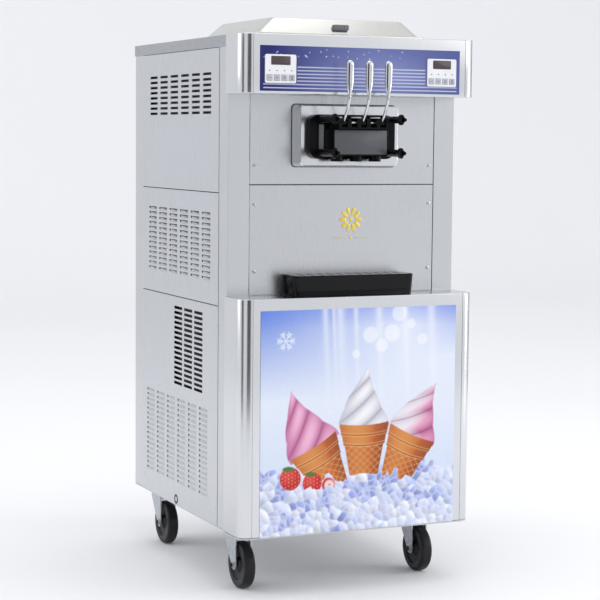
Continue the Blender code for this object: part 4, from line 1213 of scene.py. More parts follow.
@dataclass
class SoftCone:
    """A drawn cone of soft ice: foot is its lowest point and lean its tilt to the right, in degrees."""

    foot: tuple[float, float]
    lean: float
    light: tuple[float, float, float]
    dark: tuple[float, float, float]
    mix: float = 0.0
    cup: float = 105.0
    foot_half: float = 33.0
    rim_half: float = 53.0
    rim_band: float = 42.0
    cream: float = 122.0
    cream_half: float = 56.0
    turns: float = 2.7
    curl: float = 9.0

    def draw(self, picture: Picture) -> None:
        """Draws the cup, its band and the swirl, in coordinates turned by the lean.

        Args:
            picture: the sheet that is drawn on.
        """
        lean = math.radians(self.lean)
        away_x, away_y = picture.x - self.foot[0], self.foot[1] - picture.y
        u = away_x * math.cos(lean) - away_y * math.sin(lean)
        v = away_x * math.sin(lean) + away_y * math.cos(lean)
        self.draw_swirl(picture, u, v - self.cup)
        self.draw_cup(picture, u, v)

    def draw_swirl(self, picture: Picture, u: Array, v: Array) -> None:
        """Folds that wind up to a tip: half width falls as (1 - t^1.35)^1.2 and swells in every fold.

        Args:
            picture: the sheet that is drawn on.
            u: how far each point is across the cone.
            v: how far each point is above the cup.
        """
        t = np.clip(v / self.cream, 0, 1)
        shift = self.curl * t**3 - 5.0 * np.sin(math.pi * t)
        side = (u - shift) / self.cream_half
        phase = t * self.turns - 0.75 * side * (1 + t)
        swell = 1 + 0.07 * np.abs(np.sin(math.pi * (t * self.turns + 0.2)))
        half = np.maximum(self.cream_half * (1 - t**1.35) ** 1.2, 4.5 * (1 - t) + 1.2) * swell
        within = covering(np.abs(u - shift) - half, 1.8)
        inside = within * covering(-v - 5, 1.0) * covering(v - self.cream, 1.0)
        picture.lay(inside, linear(*self.dark))
        ridge = 0.5 - 0.5 * np.cos(math.tau * phase)
        across = np.clip(1 - np.abs((u - shift) / np.maximum(half, 1) - 0.10) ** 2, 0, 1)
        light = linear(*self.light)
        picture.lay(inside * ridge**0.6 * (0.25 + 0.75 * across), light)
        if self.mix:
            pale = np.clip(0.5 - side * 1.6 - 0.25 * np.sin(math.tau * phase), 0, 1)
            picture.lay(inside * pale * self.mix, linear(246, 240, 246))
            picture.lay(inside * pale * self.mix * (1 - ridge) * 0.6, linear(206, 196, 214))
        groove = np.clip(1 - np.abs(np.sin(math.pi * phase)) * 4, 0, 1)
        picture.lay(inside * groove * 0.55, linear(*[channel * 0.80 for channel in self.dark]))

    def draw_cup(self, picture: Picture, u: Array, v: Array) -> None:
        """A wafer: two smooth bands at the rim, then ribs that cross below them.

        Args:
            picture: the sheet that is drawn on.
            u: how far each point is across the cone.
            v: how far each point is above the foot.
        """
        t = np.clip(v / self.cup, 0, 1)
        half = self.foot_half + (self.rim_half - self.foot_half) * t
        in_band = covering(self.cup - self.rim_band - v, 1.2)
        in_lip = covering(self.cup - self.rim_band * 0.48 - v, 1.2)
        half = half + 2.5 * in_band + 1.5 * in_lip
        curve = 5.0 * (1 - (u / half) ** 2)
        inside = covering(np.abs(u) - half, 1.4) * covering(-v, 1.2) * covering(v - self.cup - 5 + curve, 1.2)
        picture.lay(inside, linear(190, 92, 30))
        side = np.clip(1 - ((u / half) + 0.30) ** 2 * 1.6, 0, 1)
        picture.lay(inside * side * (0.35 + 0.3 * in_band), linear(232, 160, 84))
        picture.lay(inside * np.clip((u / half - 0.40) * 1.8, 0, 1) * 0.65, linear(128, 56, 20))
        for slant in (1.0, -1.0):
            rib = np.abs(((u * slant / half * 34 + v) / 15.0) % 1.0 - 0.5)
            picture.lay(inside * (1 - in_band) * covering(rib - 0.06, 0.08) * 0.6, linear(240, 178, 104))
        for share, strength in ((1.0, 0.8), (0.48, 0.7)):
            away = np.abs(v - self.cup + self.rim_band * share - 4 + curve)
            picture.lay(inside * covering(away - 1.1, 1.2) * strength, linear(132, 62, 22))
            glint = covering(np.abs(away - 2.6) - 0.8, 1.0)
            picture.lay(inside * glint * strength * 0.7, linear(248, 198, 130))


@dataclass
class PosterArt:
    """The lower print: a cold sky, three cones, berries and crushed ice."""

    crystals: int = 420
    ice_top: float = 334.0
    depth: float = 468.0
    width: float = 452.0
    flake: tuple[float, float, float] = (56.0, 63.0, 19.0)
    bokeh: tuple[tuple[float, float, float], ...] = (
        (249, 57, 17), (300, 55, 18), (276, 80, 14), (317, 13, 17),
        (345, 36, 10), (216, 96, 9), (372, 70, 12),
    )
    berries: tuple[tuple[float, float, float], ...] = ((68, 350, 24), (118, 362, 22))
    blues: tuple[tuple[float, float], ...] = (
        (12, 338), (92, 412), (136, 404), (205, 366), (250, 385), (262, 360), (300, 376), (360, 350),
        (392, 330), (352, 412), (398, 404), (60, 440), (230, 402), (428, 342), (44, 370), (330, 395),
        (180, 440),
    )
    pale_tints: tuple[Colour, ...] = (
        (214, 222, 248), (236, 240, 254), (190, 202, 242), (226, 224, 246), (250, 251, 255),
    )
    deep_tints: tuple[Colour, ...] = ((66, 88, 196), (92, 118, 214), (128, 146, 226), (104, 128, 222))

    def paint(self, x: Array, y: Array) -> Array:
        """The whole picture.

        Args:
            x: millimetres from the left edge.
            y: millimetres from the top edge.

        Returns:
            One colour for each point.
        """
        picture = Picture(x, y, np.tile(linear(230, 237, 251), (len(x), 1)))
        self.sky(picture)
        self.snowflake(picture)
        cover, frost, level = self.ice(picture)
        picture.lay(cover, frost)
        SoftCone((171, 380), -28, (246, 184, 214), (192, 104, 152), cream=131, cream_half=60).draw(picture)
        SoftCone((307, 370), 24, (238, 168, 200), (184, 92, 140), mix=0.9).draw(picture)
        SoftCone((237, 352), 0, (250, 249, 252), (196, 194, 206)).draw(picture)
        picture.lay(cover * covering(self.ice_top + 22 - level, 1.0), frost)
        self.fruit(picture)
        picture.lay(cover * covering(self.ice_top + 46 - level, 1.0), frost)
        return picture.ink

    def sky(self, picture: Picture) -> None:
        """Blue at the upper left fading down and right, with light shafts and round blurs.

        Args:
            picture: the sheet that is drawn on.
        """
        x, y = picture.x, picture.y
        blue = np.clip(1 - (x / 330) ** 1.1, 0, 1) * np.clip(1 - y / 190, 0, 1)
        picture.lay(blue * 0.95, linear(70, 120, 222))
        picture.lay(np.clip((x - 330) / 122, 0, 1) * np.clip(1 - y / 110, 0, 1) * 0.6, linear(84, 120, 226))
        picture.lay(np.clip(1 - y / 40, 0, 1) * 0.5, linear(110, 140, 232))
        picture.lay(np.clip((y - 200) / 150, 0, 1) * 0.5, linear(204, 219, 246))
        for middle, width in ((144, 7), (163, 4), (178, 10), (214, 5), (268, 8), (330, 6), (392, 9)):
            shaft = np.exp(-(((x - middle - 0.05 * y) / width) ** 2)) * np.clip(1 - y / 240, 0, 1)
            picture.lay(shaft * 0.55, linear(250, 251, 255))
        for at_x, at_y, radius in self.bokeh:
            picture.disc(at_x, at_y, radius, linear(252, 253, 255), 0.55, 4.0)

    def snowflake(self, picture: Picture) -> None:
        """A six-armed flake: distance to the nearest arm after folding the angle into 60 degrees.

        Args:
            picture: the sheet that is drawn on.
        """
        at_x, at_y, radius = self.flake
        across, up = picture.x - at_x, picture.y - at_y
        distance = np.hypot(across, up)
        angle = (np.arctan2(up, across) + math.pi / 6) % (math.pi / 3) - math.pi / 6
        along, aside = distance * np.cos(angle), np.abs(distance * np.sin(angle))
        arm = np.maximum(aside - 0.8, along - radius)
        for start in (0.45, 0.72):
            twig = np.abs((along - radius * start) - aside) * 0.7071 - 0.7
            arm = np.minimum(arm, np.maximum(twig, aside - radius * 0.28))
        picture.lay(covering(arm, 1.6), linear(250, 252, 255))

    def shards(self) -> tuple[Array, Array, Array]:
        """Scatters the shards of ice; most of the ones near the blue spots take a deep tint.

        Returns:
            The middle, the ink and the tilt of every shard.
        """
        chance = np.random.default_rng(7)
        count = self.crystals
        across = chance.uniform(-8, self.width + 8, count)
        down = chance.uniform(self.ice_top - 26, self.depth + 8, count)
        spots = np.array(self.blues)
        away = np.hypot(across[:, None] - spots[:, 0], down[:, None] - spots[:, 1])
        is_deep = (away.min(axis=1) < 22) & (chance.random(count) < 0.72)
        deep = np.array([linear(*tint) for tint in self.deep_tints])
        pale = np.array([linear(*tint) for tint in self.pale_tints])
        deep = deep[chance.integers(0, len(deep), count)]
        pale = pale[chance.integers(0, len(pale), count)]
        tilt = chance.uniform(0, math.pi, count)
        return np.column_stack([across, down]), np.where(is_deep[:, None], deep, pale), tilt

    def ice(self, picture: Picture) -> tuple[Array, Array, Array]:
        """Crushed ice: each point belongs to the shard nearest in the shard's own turned, stretched measure.

        Args:
            picture: the sheet, for its points.

        Returns:
            Where ice covers, its colour, and the height of each point's shard.
        """
        middles, inks, tilt = self.shards()
        near = np.flatnonzero(picture.y > self.ice_top - 40)
        x, y = picture.x[near], picture.y[near]
        across, down = x[:, None] - middles[:, 0], y[:, None] - middles[:, 1]
        along = np.abs(across * np.cos(tilt) + down * np.sin(tilt)) * 0.62
        aside = np.abs(down * np.cos(tilt) - across * np.sin(tilt))
        away = np.maximum(along, aside) + 0.35 * np.minimum(along, aside)
        nearest_two = np.sort(np.partition(away, 2, axis=1)[:, :2], axis=1)
        first = away.argmin(axis=1)
        own_x, own_y = middles[first, 0], middles[first, 1]
        edge = np.clip(1 - (nearest_two[:, 1] - nearest_two[:, 0]) / 4.5, 0, 1)[:, None]
        slope = np.clip((x - own_x) / 22 + (own_y - y) / 22, -0.5, 0.5)[:, None]
        frost_tint_and_painted_reflection = linear(214, 222, 247)
        facet = np.clip(frost_tint_and_painted_reflection + (inks[first] - frost_tint_and_painted_reflection) * 0.62, 0, 1) * (0.94 + 0.5 * slope)
        cover, level = np.zeros(len(picture.x)), np.zeros(len(picture.x))
        colour = np.tile(linear(200, 210, 245), (len(picture.x), 1))
        colour[near] = facet + (linear(222, 229, 250) - facet) * edge * 0.6
        level[near] = own_y
        cover[near] = own_y > self.ice_top - 4 + 10 * np.sin(own_x / 31)
        return cover, colour, level

    def fruit(self, picture: Picture) -> None:
        """Two strawberries with seeds and leaves, and a cut one with a pale heart.

        Args:
            picture: the sheet that is drawn on.
        """
        for at_x, at_y, radius in self.berries:
            picture.disc(at_x, at_y, radius, linear(196, 24, 36), 1.0, 2.0)
            glint = (at_x - radius * 0.25, at_y - radius * 0.3, radius * 0.5)
            picture.disc(*glint, linear(240, 84, 84), 0.7, radius * 0.9)
            across, up = picture.x - at_x, picture.y - at_y
            spots = np.hypot((across % 7.5) - 3.75, ((up + 3.2 * np.floor(across / 7.5)) % 7.5) - 3.75)
            inside = covering(np.hypot(across, up) - radius + 2, 2.0)
            picture.lay(inside * covering(spots - 0.9, 0.8), linear(248, 206, 120))
            leaf = np.hypot(across + radius * 0.2, (up + radius * 0.85) * 2.4)
            picture.lay(covering(leaf - radius * 0.55, 2.0), linear(74, 122, 48))
        picture.disc(155, 368, 15, linear(206, 36, 50), 1.0, 2.0)
        picture.disc(157, 369, 11, linear(250, 224, 214), 0.95, 4.0)
        picture.disc(157, 370, 4, linear(214, 90, 86), 0.8, 3.0)


@dataclass
class OverlayArt:
    """The upper print: deep blue at the left, a painted reflection that pales it to the right and in a soft
    spot, and fine level lines.
    """

    width: float = 458.0
    height: float = 91.5
    short_lines: tuple[float, ...] = (49.0, 42.0, 35.0, 28.0, 21.0)
    long_lines: tuple[float, ...] = (14.0, 6.5)
    line: float = 2.1
    short_reach: float = 147.0
    long_reach: float = 222.0
    stars: int = 26

    def paint(self, x: Array, y: Array) -> Array:
        """The whole picture.

        Args:
            x: millimetres from the left edge.
            y: millimetres from the top edge.

        Returns:
            One colour for each point.
        """
        picture = Picture(x, y, np.tile(linear(14, 24, 104), (len(x), 1)))
        share = x / self.width
        # Painted reflection: a pale veil over the navy ink, and a soft pale spot of glare, stand for the
        # bright room seen in the glossy film.
        frost_tint_and_painted_reflection = np.clip((share - 0.06) / 0.5, 0, 1) * (0.75 + 0.25 * np.sin(3.2 * share + 0.9))
        picture.lay(frost_tint_and_painted_reflection * 0.85, linear(112, 124, 186))
        painted_glare = np.exp(-(((x - 265) / 120) ** 2) - ((y - 56) / 40) ** 2)
        picture.lay(painted_glare * 0.45, linear(166, 174, 216))
        chance = np.random.default_rng(3)
        spans = ((8, 330), (4, 26), (0.7, 1.5))
        for at_x, at_y, size in zip(*[chance.uniform(*span, self.stars) for span in spans]):
            picture.disc(at_x, at_y, size, linear(226, 232, 255), 0.8, 1.0)
        for levels, reach in ((self.short_lines, self.short_reach), (self.long_lines, self.long_reach)):
            for level in levels:
                away = np.maximum(
                    np.abs(self.height - y - level) - self.line / 2, np.abs(x - self.width / 2) - reach
                )
                picture.lay(covering(away, 0.9) * 0.78, linear(222, 224, 248))
        return picture.ink


def printed_sheet(node: str, art: PosterArt | OverlayArt, finish: str, step: float) -> None:
    """A frame sheet as a slab with a fine front grid, coloured point by point.

    Args:
        node: the sheet's node, which the slab replaces.
        art: what paints it.
        finish: the finish's key.
        step: spacing of the grid.
    """
    low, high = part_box(node)
    columns = round((high.x - low.x) / step) + 1
    rows = round((high.z - low.z) / step) + 1
    x, z = np.meshgrid(np.linspace(low.x, high.x, columns), np.linspace(low.z, high.z, rows), indexing="ij")
    mesh = grid_shape(np.stack([x, np.full_like(x, low.y), z], axis=-1)).mesh(f"{node}_print")
    work = bmesh.new()
    work.from_mesh(mesh)
    pulled = bmesh.ops.extrude_edge_only(work, edges=[edge for edge in work.edges if edge.is_boundary])
    back = [item for item in pulled["geom"] if isinstance(item, bmesh.types.BMVert)]
    bmesh.ops.translate(work, verts=back, vec=(0, high.y - low.y, 0))
    open_edges = [edge for edge in work.edges if edge.is_boundary]
    bmesh.ops.holes_fill(work, edges=open_edges, sides=0)
    bmesh.ops.recalc_face_normals(work, faces=work.faces)
    work.to_mesh(mesh)
    work.free()
    points = np.empty(len(mesh.vertices) * 3, np.float32)
    mesh.vertices.foreach_get("co", points)
    points = points.reshape(-1, 3)
    ink = art.paint((points[:, 0] - low.x) * 1000, (high.z - points[:, 2]) * 1000)
    layer = mesh.color_attributes.new("ink", "FLOAT_COLOR", "POINT")
    layer.data.foreach_set("color", np.column_stack([ink, np.ones(len(ink))]).astype(np.float32).ravel())
    shaded(mesh, 40)
    piece = place(f"{node}_print", mesh, finish, CABINET)
    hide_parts(node)


# ---------------------------------------------------------------- front


@dataclass
class ControlPanel:
    """The printed overlay with two keypads, their windows, lamps and domed keys."""

    window_rise: float = 0.0365
    window_height: float = 0.0178
    window_width: float = 0.0428
    lamp_rise: float = 0.0252
    lamp_radius: float = 0.0013
    trim: float = 0.0005
    lift: float = 0.0001
    bar_pitch: float = 0.0020

    def build(self) -> None:
        """Builds the print, then everything on each keypad."""
        printed_sheet("control_overlay", OverlayArt(), "overlay", 0.0010)
        for side in ("left", "right"):
            softened(f"keypad_{side}", "white", 0.0006)
            low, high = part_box(f"keypad_{side}")
            self.window(side, (low.x + high.x) / 2, low)
            self.lamps(side, low)
            for number in range(1, 5):
                self.key(f"key_{side}_{number}", number)

    def window(self, side: str, x: float, low: Vector) -> None:
        """A dark display window near a keypad's foot.

        Args:
            side: left or right.
            x: X of its middle.
            low: the keypad's lowest corner.
        """
        z = low.z + self.window_rise + self.window_height / 2
        pane = soft_block(self.window_width, self.window_height, 0.0016, 0.0, self.trim, 0.0002)
        build(f"display_{side}", pane.facing().moved(x, low.y + self.lift, z), "window")

    def lamps(self, side: str, low: Vector) -> None:
        """Four small round lamps in a row, one above each key.

        Args:
            side: left or right.
            low: the keypad's lowest corner.
        """
        radius = self.lamp_radius
        bead = spun(np.array([[radius, 0], [radius * 0.9, 0.0003], [radius * 0.5, 0.0006]]), 20)
        places = []
        for number in range(1, 5):
            key_low, key_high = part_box(f"key_{side}_{number}")
            places.append([(key_low.x + key_high.x) / 2, low.y, low.z + self.lamp_rise])
        build(f"lamps_{side}", bead.facing().repeated(np.array(places)), "lens")

    def key(self, node: str, bars: int) -> None:
        """A key with a soft dome, and a mark of small bars.

        Args:
            node: the key's node.
            bars: how many bars the mark has.
        """
        low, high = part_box(node)
        width, height, depth = high.x - low.x, high.z - low.z, high.y - low.y
        block = soft_block(width, height, 0.0012, 0.0002, depth, 0.0004)
        x, z = (low.x + high.x) / 2, (low.z + high.z) / 2
        piece = build(f"{node}_cap", block.facing().moved(x, high.y, z), "key", node)
        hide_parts(node)
        bar = soft_block(0.0062, 0.0009, 0.0004, 0, 0.00015, 0.00005)
        rows = (np.arange(bars) - (bars - 1) / 2) * self.bar_pitch
        places = np.column_stack([np.full(bars, x), np.full(bars, low.y + self.lift), z + rows])
        build(f"{node}_mark", bar.facing().repeated(places), "glyph", node)


@dataclass
class DispensingHead:
    """The black head on its pressed plate, with windows, glossy front and nozzle lips."""

    edge: float = 0.0009
    rim: float = 0.0026
    proud: float = 0.0010
    block: tuple[float, float, float, float] = (0.127, 0.056, 0.9190, 0.0418 + 0.039)
    pane: tuple[float, float, float, float] = (0.0705, 0.015, 0.052, 0.0418 - 0.009)
    pane_drop: float = 0.002
    nozzle: tuple[float, float, float] = (0.044, 0.013, 0.0573)
    # Grow and Y of each ring of the painted shade round the plate's foot.
    shade_ring_section: tuple[tuple[float, float], ...] = (
        (-0.0020, -0.0004), (0.0006, -0.0004), (0.0012, 0.0), (0.0012, 0.0006), (-0.0020, 0.0006),
    )

    def build(self) -> None:
        """Finishes the plate and the head, then adds the trims on them."""
        softened("head_face_plate", "shell", 0.0010)
        softened("dispensing_head", "black", self.edge)
        for name in ("left", "middle", "right"):
            softened(f"valve_plunger_{name}", "nylon", 0.0005)
        # The dark ring round the plate's foot is painted shade.
        self.shade_ring()
        self.block_front()
        self.window_bottoms()
        self.nozzle_lips()
        self.pin()

    def shade_ring(self) -> None:
        """A thin dark ring round the foot of the plate: painted shade for the dark gap and edge there."""
        low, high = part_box("head_face_plate")
        width, height, z = high.x - low.x, high.z - low.z, (high.z + low.z) / 2
        rings = [
            upright_ring(rounded_outline(width + 2 * grow, height + 2 * grow, 0.009, 8), BODY_FRONT + y, z)
            for grow, y in self.shade_ring_section
        ]
        build("plate_shade_ring", grid_shape(np.array(rings), close_rows=True, close_columns=True), "rubber")

    def block_front(self) -> None:
        """A raised rim around the block's front, and the glossy face inside it."""
        width, height, bottom, reach = self.block
        y, z = BODY_FRONT - reach, bottom + height / 2
        section = (
            (0.0008, -0.0002), (0.0008, self.proud * 0.7), (0.0014, self.proud),
            (self.rim, self.proud), (self.rim + 0.0004, -0.0002),
        )
        rings = [
            upright_ring(rounded_outline(width - 2 * inset, height - 2 * inset, 0.0035), y - rise, z)
            for inset, rise in section
        ]
        build("block_rim", grid_shape(np.array(rings), close_rows=True, close_columns=True), "black")
        inner_width, inner_height = width - 2 * self.rim - 0.001, height - 2 * self.rim - 0.001
        face = soft_block(inner_width, inner_height, 0.002, -0.0002, 0.0003, 0.0001)
        build("block_face", face.facing().moved(0, y, z), "gloss")

    def window_bottoms(self) -> None:
        """Bright plates at the bottom of the two windows."""
        offset, width, height, reach = self.pane
        slab = soft_block(width - 0.0002, height - 0.0002, 0.003, -0.0001, 0.0008, 0.0002)
        low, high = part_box("head_face_plate")
        z = (low.z + high.z) / 2 - self.pane_drop
        places = np.array([[sign * offset, BODY_FRONT - reach, z] for sign in (-1, 1)])
        build("window_bottoms", slab.facing().repeated(places), "pane")

    def nozzle_lips(self) -> None:
        """Rolled lips round the three nozzle mouths."""
        pitch, radius, reach = self.nozzle
        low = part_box("dispensing_head")[0]
        angle = np.linspace(0, math.tau, 12, endpoint=False)
        roll = 0.0012
        profile = np.stack([radius - 0.0010 + roll * np.cos(angle), 0.0013 + roll * np.sin(angle)], axis=-1)
        places = np.array([[step * pitch, BODY_FRONT - reach, low.z] for step in (-1, 0, 1)])
        build("nozzle_lips", turned(profile, 40).repeated(places), "black")

    def pin(self) -> None:
        """The pivot pin with its domed ends."""
        low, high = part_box("lever_pin")
        radius, half = (high.z - low.z) / 2, (high.x - low.x) / 2
        profile = np.array(
            [[radius * 0.4, -half], [radius * 0.85, -half + 0.0004], [radius, -half + 0.001],
             [radius, half - 0.001], [radius * 0.85, half - 0.0004], [radius * 0.4, half]]
        )
        rod = spun(profile, 24).along(Axis.X).moved(0, (low.y + high.y) / 2, (low.z + high.z) / 2)
        piece = build("lever_pin_rod", rod, "screw")
        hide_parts("lever_pin")


@dataclass
class DrawLevers:
    """Three chromed levers: a bent rod that swells into a flat rounded grip."""

    stations: int = 64
    sides: int = 24
    top: float = 0.127
    start: float = 0.056
    lean: float = 0.031
    rod: float = 0.0029
    half_width: float = 0.0085
    half_depth: float = 0.0050
    knuckle: float = 0.0070
    thickness: float = 0.012
    arm: tuple[float, float, float] = (0.006, 0.0305, 0.005)
    tip: float = 0.0034

    def stem(self) -> Shape:
        """The rod and grip: ellipses square to a path that leans forward by a sine of its rise.

        Returns:
            The stem from the pivot up, in the lever's own place.
        """
        t = np.linspace(0, 1, self.stations)
        up = self.top * (1 - (1 - t) ** 1.35)
        bend = np.minimum(up / self.start, 1)
        lean = self.lean * (0.90 * np.sin(bend * math.pi / 2) + 0.10 * up / self.top)
        along = np.clip((up - self.start) / (self.top - self.start), 0, 1)
        taper = np.sin(np.minimum(along / 0.45, 1) * math.pi / 2)
        dome = np.sqrt(np.clip(1 - (np.clip(along - 0.86, 0, 1) / 0.1405) ** 2, 0.0004, 1))
        width = (self.rod + (self.half_width - self.rod) * taper) * dome
        depth = (self.rod + (self.half_depth - self.rod) * taper) * dome
        path = np.column_stack([-lean, up])
        tangent = np.gradient(path, axis=0)
        tangent /= np.linalg.norm(tangent, axis=1)[:, None]
        normal = np.column_stack([tangent[:, 1], -tangent[:, 0]])
        angle = np.linspace(0, math.tau, self.sides, endpoint=False)
        x = width[:, None] * np.cos(angle)
        off = depth[:, None] * np.sin(angle)
        y = path[:, :1] + normal[:, :1] * off
        z = path[:, 1:] + normal[:, 1:] * off
        return lofted(np.stack([x, y, z], axis=-1))

    def build(self) -> None:
        """Builds each lever on its own pivot."""
        half = self.thickness / 2
        hub = soft_hub(self.knuckle, half, 0.0008, 32).along(Axis.X)
        width, reach, height = self.arm
        start, end = Vector((-width / 2, 0, -height / 2)), Vector((width / 2, reach, height / 2))
        arm = box_block(start, end, Axis.Y, 0.001, 0.0005)
        ball = soft_hub(self.tip, self.tip, 0.0008, 20).along(Axis.X).moved(0, reach, 0)
        socket = Shape.joined([hub, arm, ball])
        stem = self.stem()
        for name in ("left", "middle", "right"):
            at = joint_place(f"lever_{name}_pull")
            body = f"lever_{name}"
            foot = build(f"{body}_socket", socket.moved(*at), "black", body)
            stalk = build(f"{body}_stem", stem.moved(*at), "chrome", body)
            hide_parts(body)
            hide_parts(body)


def soft_hub(radius: float, half: float, edge: float, sides: int) -> Shape:
    """A cylinder along local Z with rounded rims.

    Args:
        radius: its radius.
        half: half its length.
        edge: rounding of its rims.
        sides: steps round it.

    Returns:
        The solid.
    """
    inset, level = soft_levels(-half, half, edge)
    return spun(np.column_stack([radius - inset, level]), sides)


@dataclass
class HandNuts:
    """Four long nuts, each with a four-lobed knob whose end is hollowed."""

    radius: float = 0.0075
    length: float = 0.0785
    knob: float = 0.0092
    lobe: float = 0.0018
    knob_length: float = 0.013
    sides: int = 64

    def shape(self) -> Shape:
        """Rings of radius base + lobe x cos(4 angle), growing from the tube into the knob.

        Returns:
            The nut, running from its seat towards -Y.
        """
        end = self.length
        start = end - self.knob_length
        rows = np.array(
            [
                [self.radius - 0.0006, 0.0, 0.0], [self.radius, 0.0, 0.0006],
                [self.radius, 0.0, 0.010], [self.radius - 0.0004, 0.0, 0.0104],
                [self.radius - 0.0004, 0.0, 0.0115], [self.radius, 0.0, 0.0119],
                [self.radius, 0.0, start - 0.0002], [self.knob - 0.0012, self.lobe, start + 0.0004],
                [self.knob - 0.0003, self.lobe, start + 0.0012], [self.knob, self.lobe, start + 0.003],
                [self.knob, self.lobe, end - 0.003], [self.knob - 0.0003, self.lobe, end - 0.0012],
                [self.knob - 0.0012, self.lobe * 0.9, end - 0.0003],
                [self.knob - 0.0022, self.lobe * 0.8, end],
                [self.knob - 0.0036, self.lobe * 0.4, end], [self.knob - 0.0041, 0.0, end - 0.0005],
                [self.knob - 0.0044, 0.0, end - 0.0060],
            ]
        )
        angle = np.linspace(0, math.tau, self.sides, endpoint=False)[None]
        radius = rows[:, :1] + rows[:, 1:2] * np.cos(4 * angle)
        along = -rows[:, 2:] + 0 * angle
        return lofted(np.stack([radius * np.cos(angle), along, radius * np.sin(angle)], axis=-1))

    def build(self) -> None:
        """Builds each nut at its own joint."""
        shape = self.shape()
        for level in ("upper", "lower"):
            for side in ("left", "right"):
                node = f"hand_nut_{level}_{side}"
                at = joint_place(f"{node}_turn")
                piece = build(f"{node}_finished", shape.moved(*at), "black", node)
                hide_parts(node)


@dataclass
class DripTray:
    """The black tray with its rolled rim, and its slotted grille."""

    reach: float = 0.064
    flare: float = 0.008
    taper: float = 0.003
    wall: float = 0.0025
    ledge: float = 0.003
    radius: float = 0.012
    grille: float = 0.0023

    def ring(self, inset: float, level: float) -> Array:
        """An outline that is wider at the front: x grows with the share of the way to the front.

        Args:
            inset: how far it is drawn in.
            level: its height.

        Returns:
            Points x 3.
        """
        low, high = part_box("drip_tray")
        half = (high.x - low.x) / 2 - self.flare * 0.82
        radius = max(self.radius - inset, self.ledge)
        plan = rounded_outline(2 * (half - inset), self.reach - 2 * inset, radius, 12)
        y = plan[:, 1] - self.reach / 2
        x = plan[:, 0] * (1 + self.flare / half * (-y / self.reach) * 0.8)
        return np.column_stack([x, y + high.y, np.full(len(y), level)])

    def build(self) -> None:
        """Lofts the tray from its foot over the rim down to its inner floor."""
        low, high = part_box("drip_tray")
        bottom, top = low.z, high.z
        seat = top - self.grille
        rows = [
            (self.taper + 0.0012, bottom), (self.taper + 0.0003, bottom + 0.0004),
            (self.taper, bottom + 0.0014),
            (0.0004, top - 0.0040), (0.0, top - 0.0016), (0.0003, top - 0.0005), (0.0010, top),
            (self.wall - 0.0008, top), (self.wall - 0.0002, top - 0.0003), (self.wall, top - 0.0008),
            (self.wall, seat), (self.wall + self.ledge, seat), (self.wall + self.ledge, bottom + 0.0035),
            (self.wall + self.ledge + 0.001, bottom + self.wall),
        ]
        rings = np.array([self.ring(inset, level) for inset, level in rows])
        piece = build("drip_tray_finished", lofted(rings), "satin", "tray")
        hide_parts("drip_tray")
        softened("drip_grille", "satin", 0.0004)


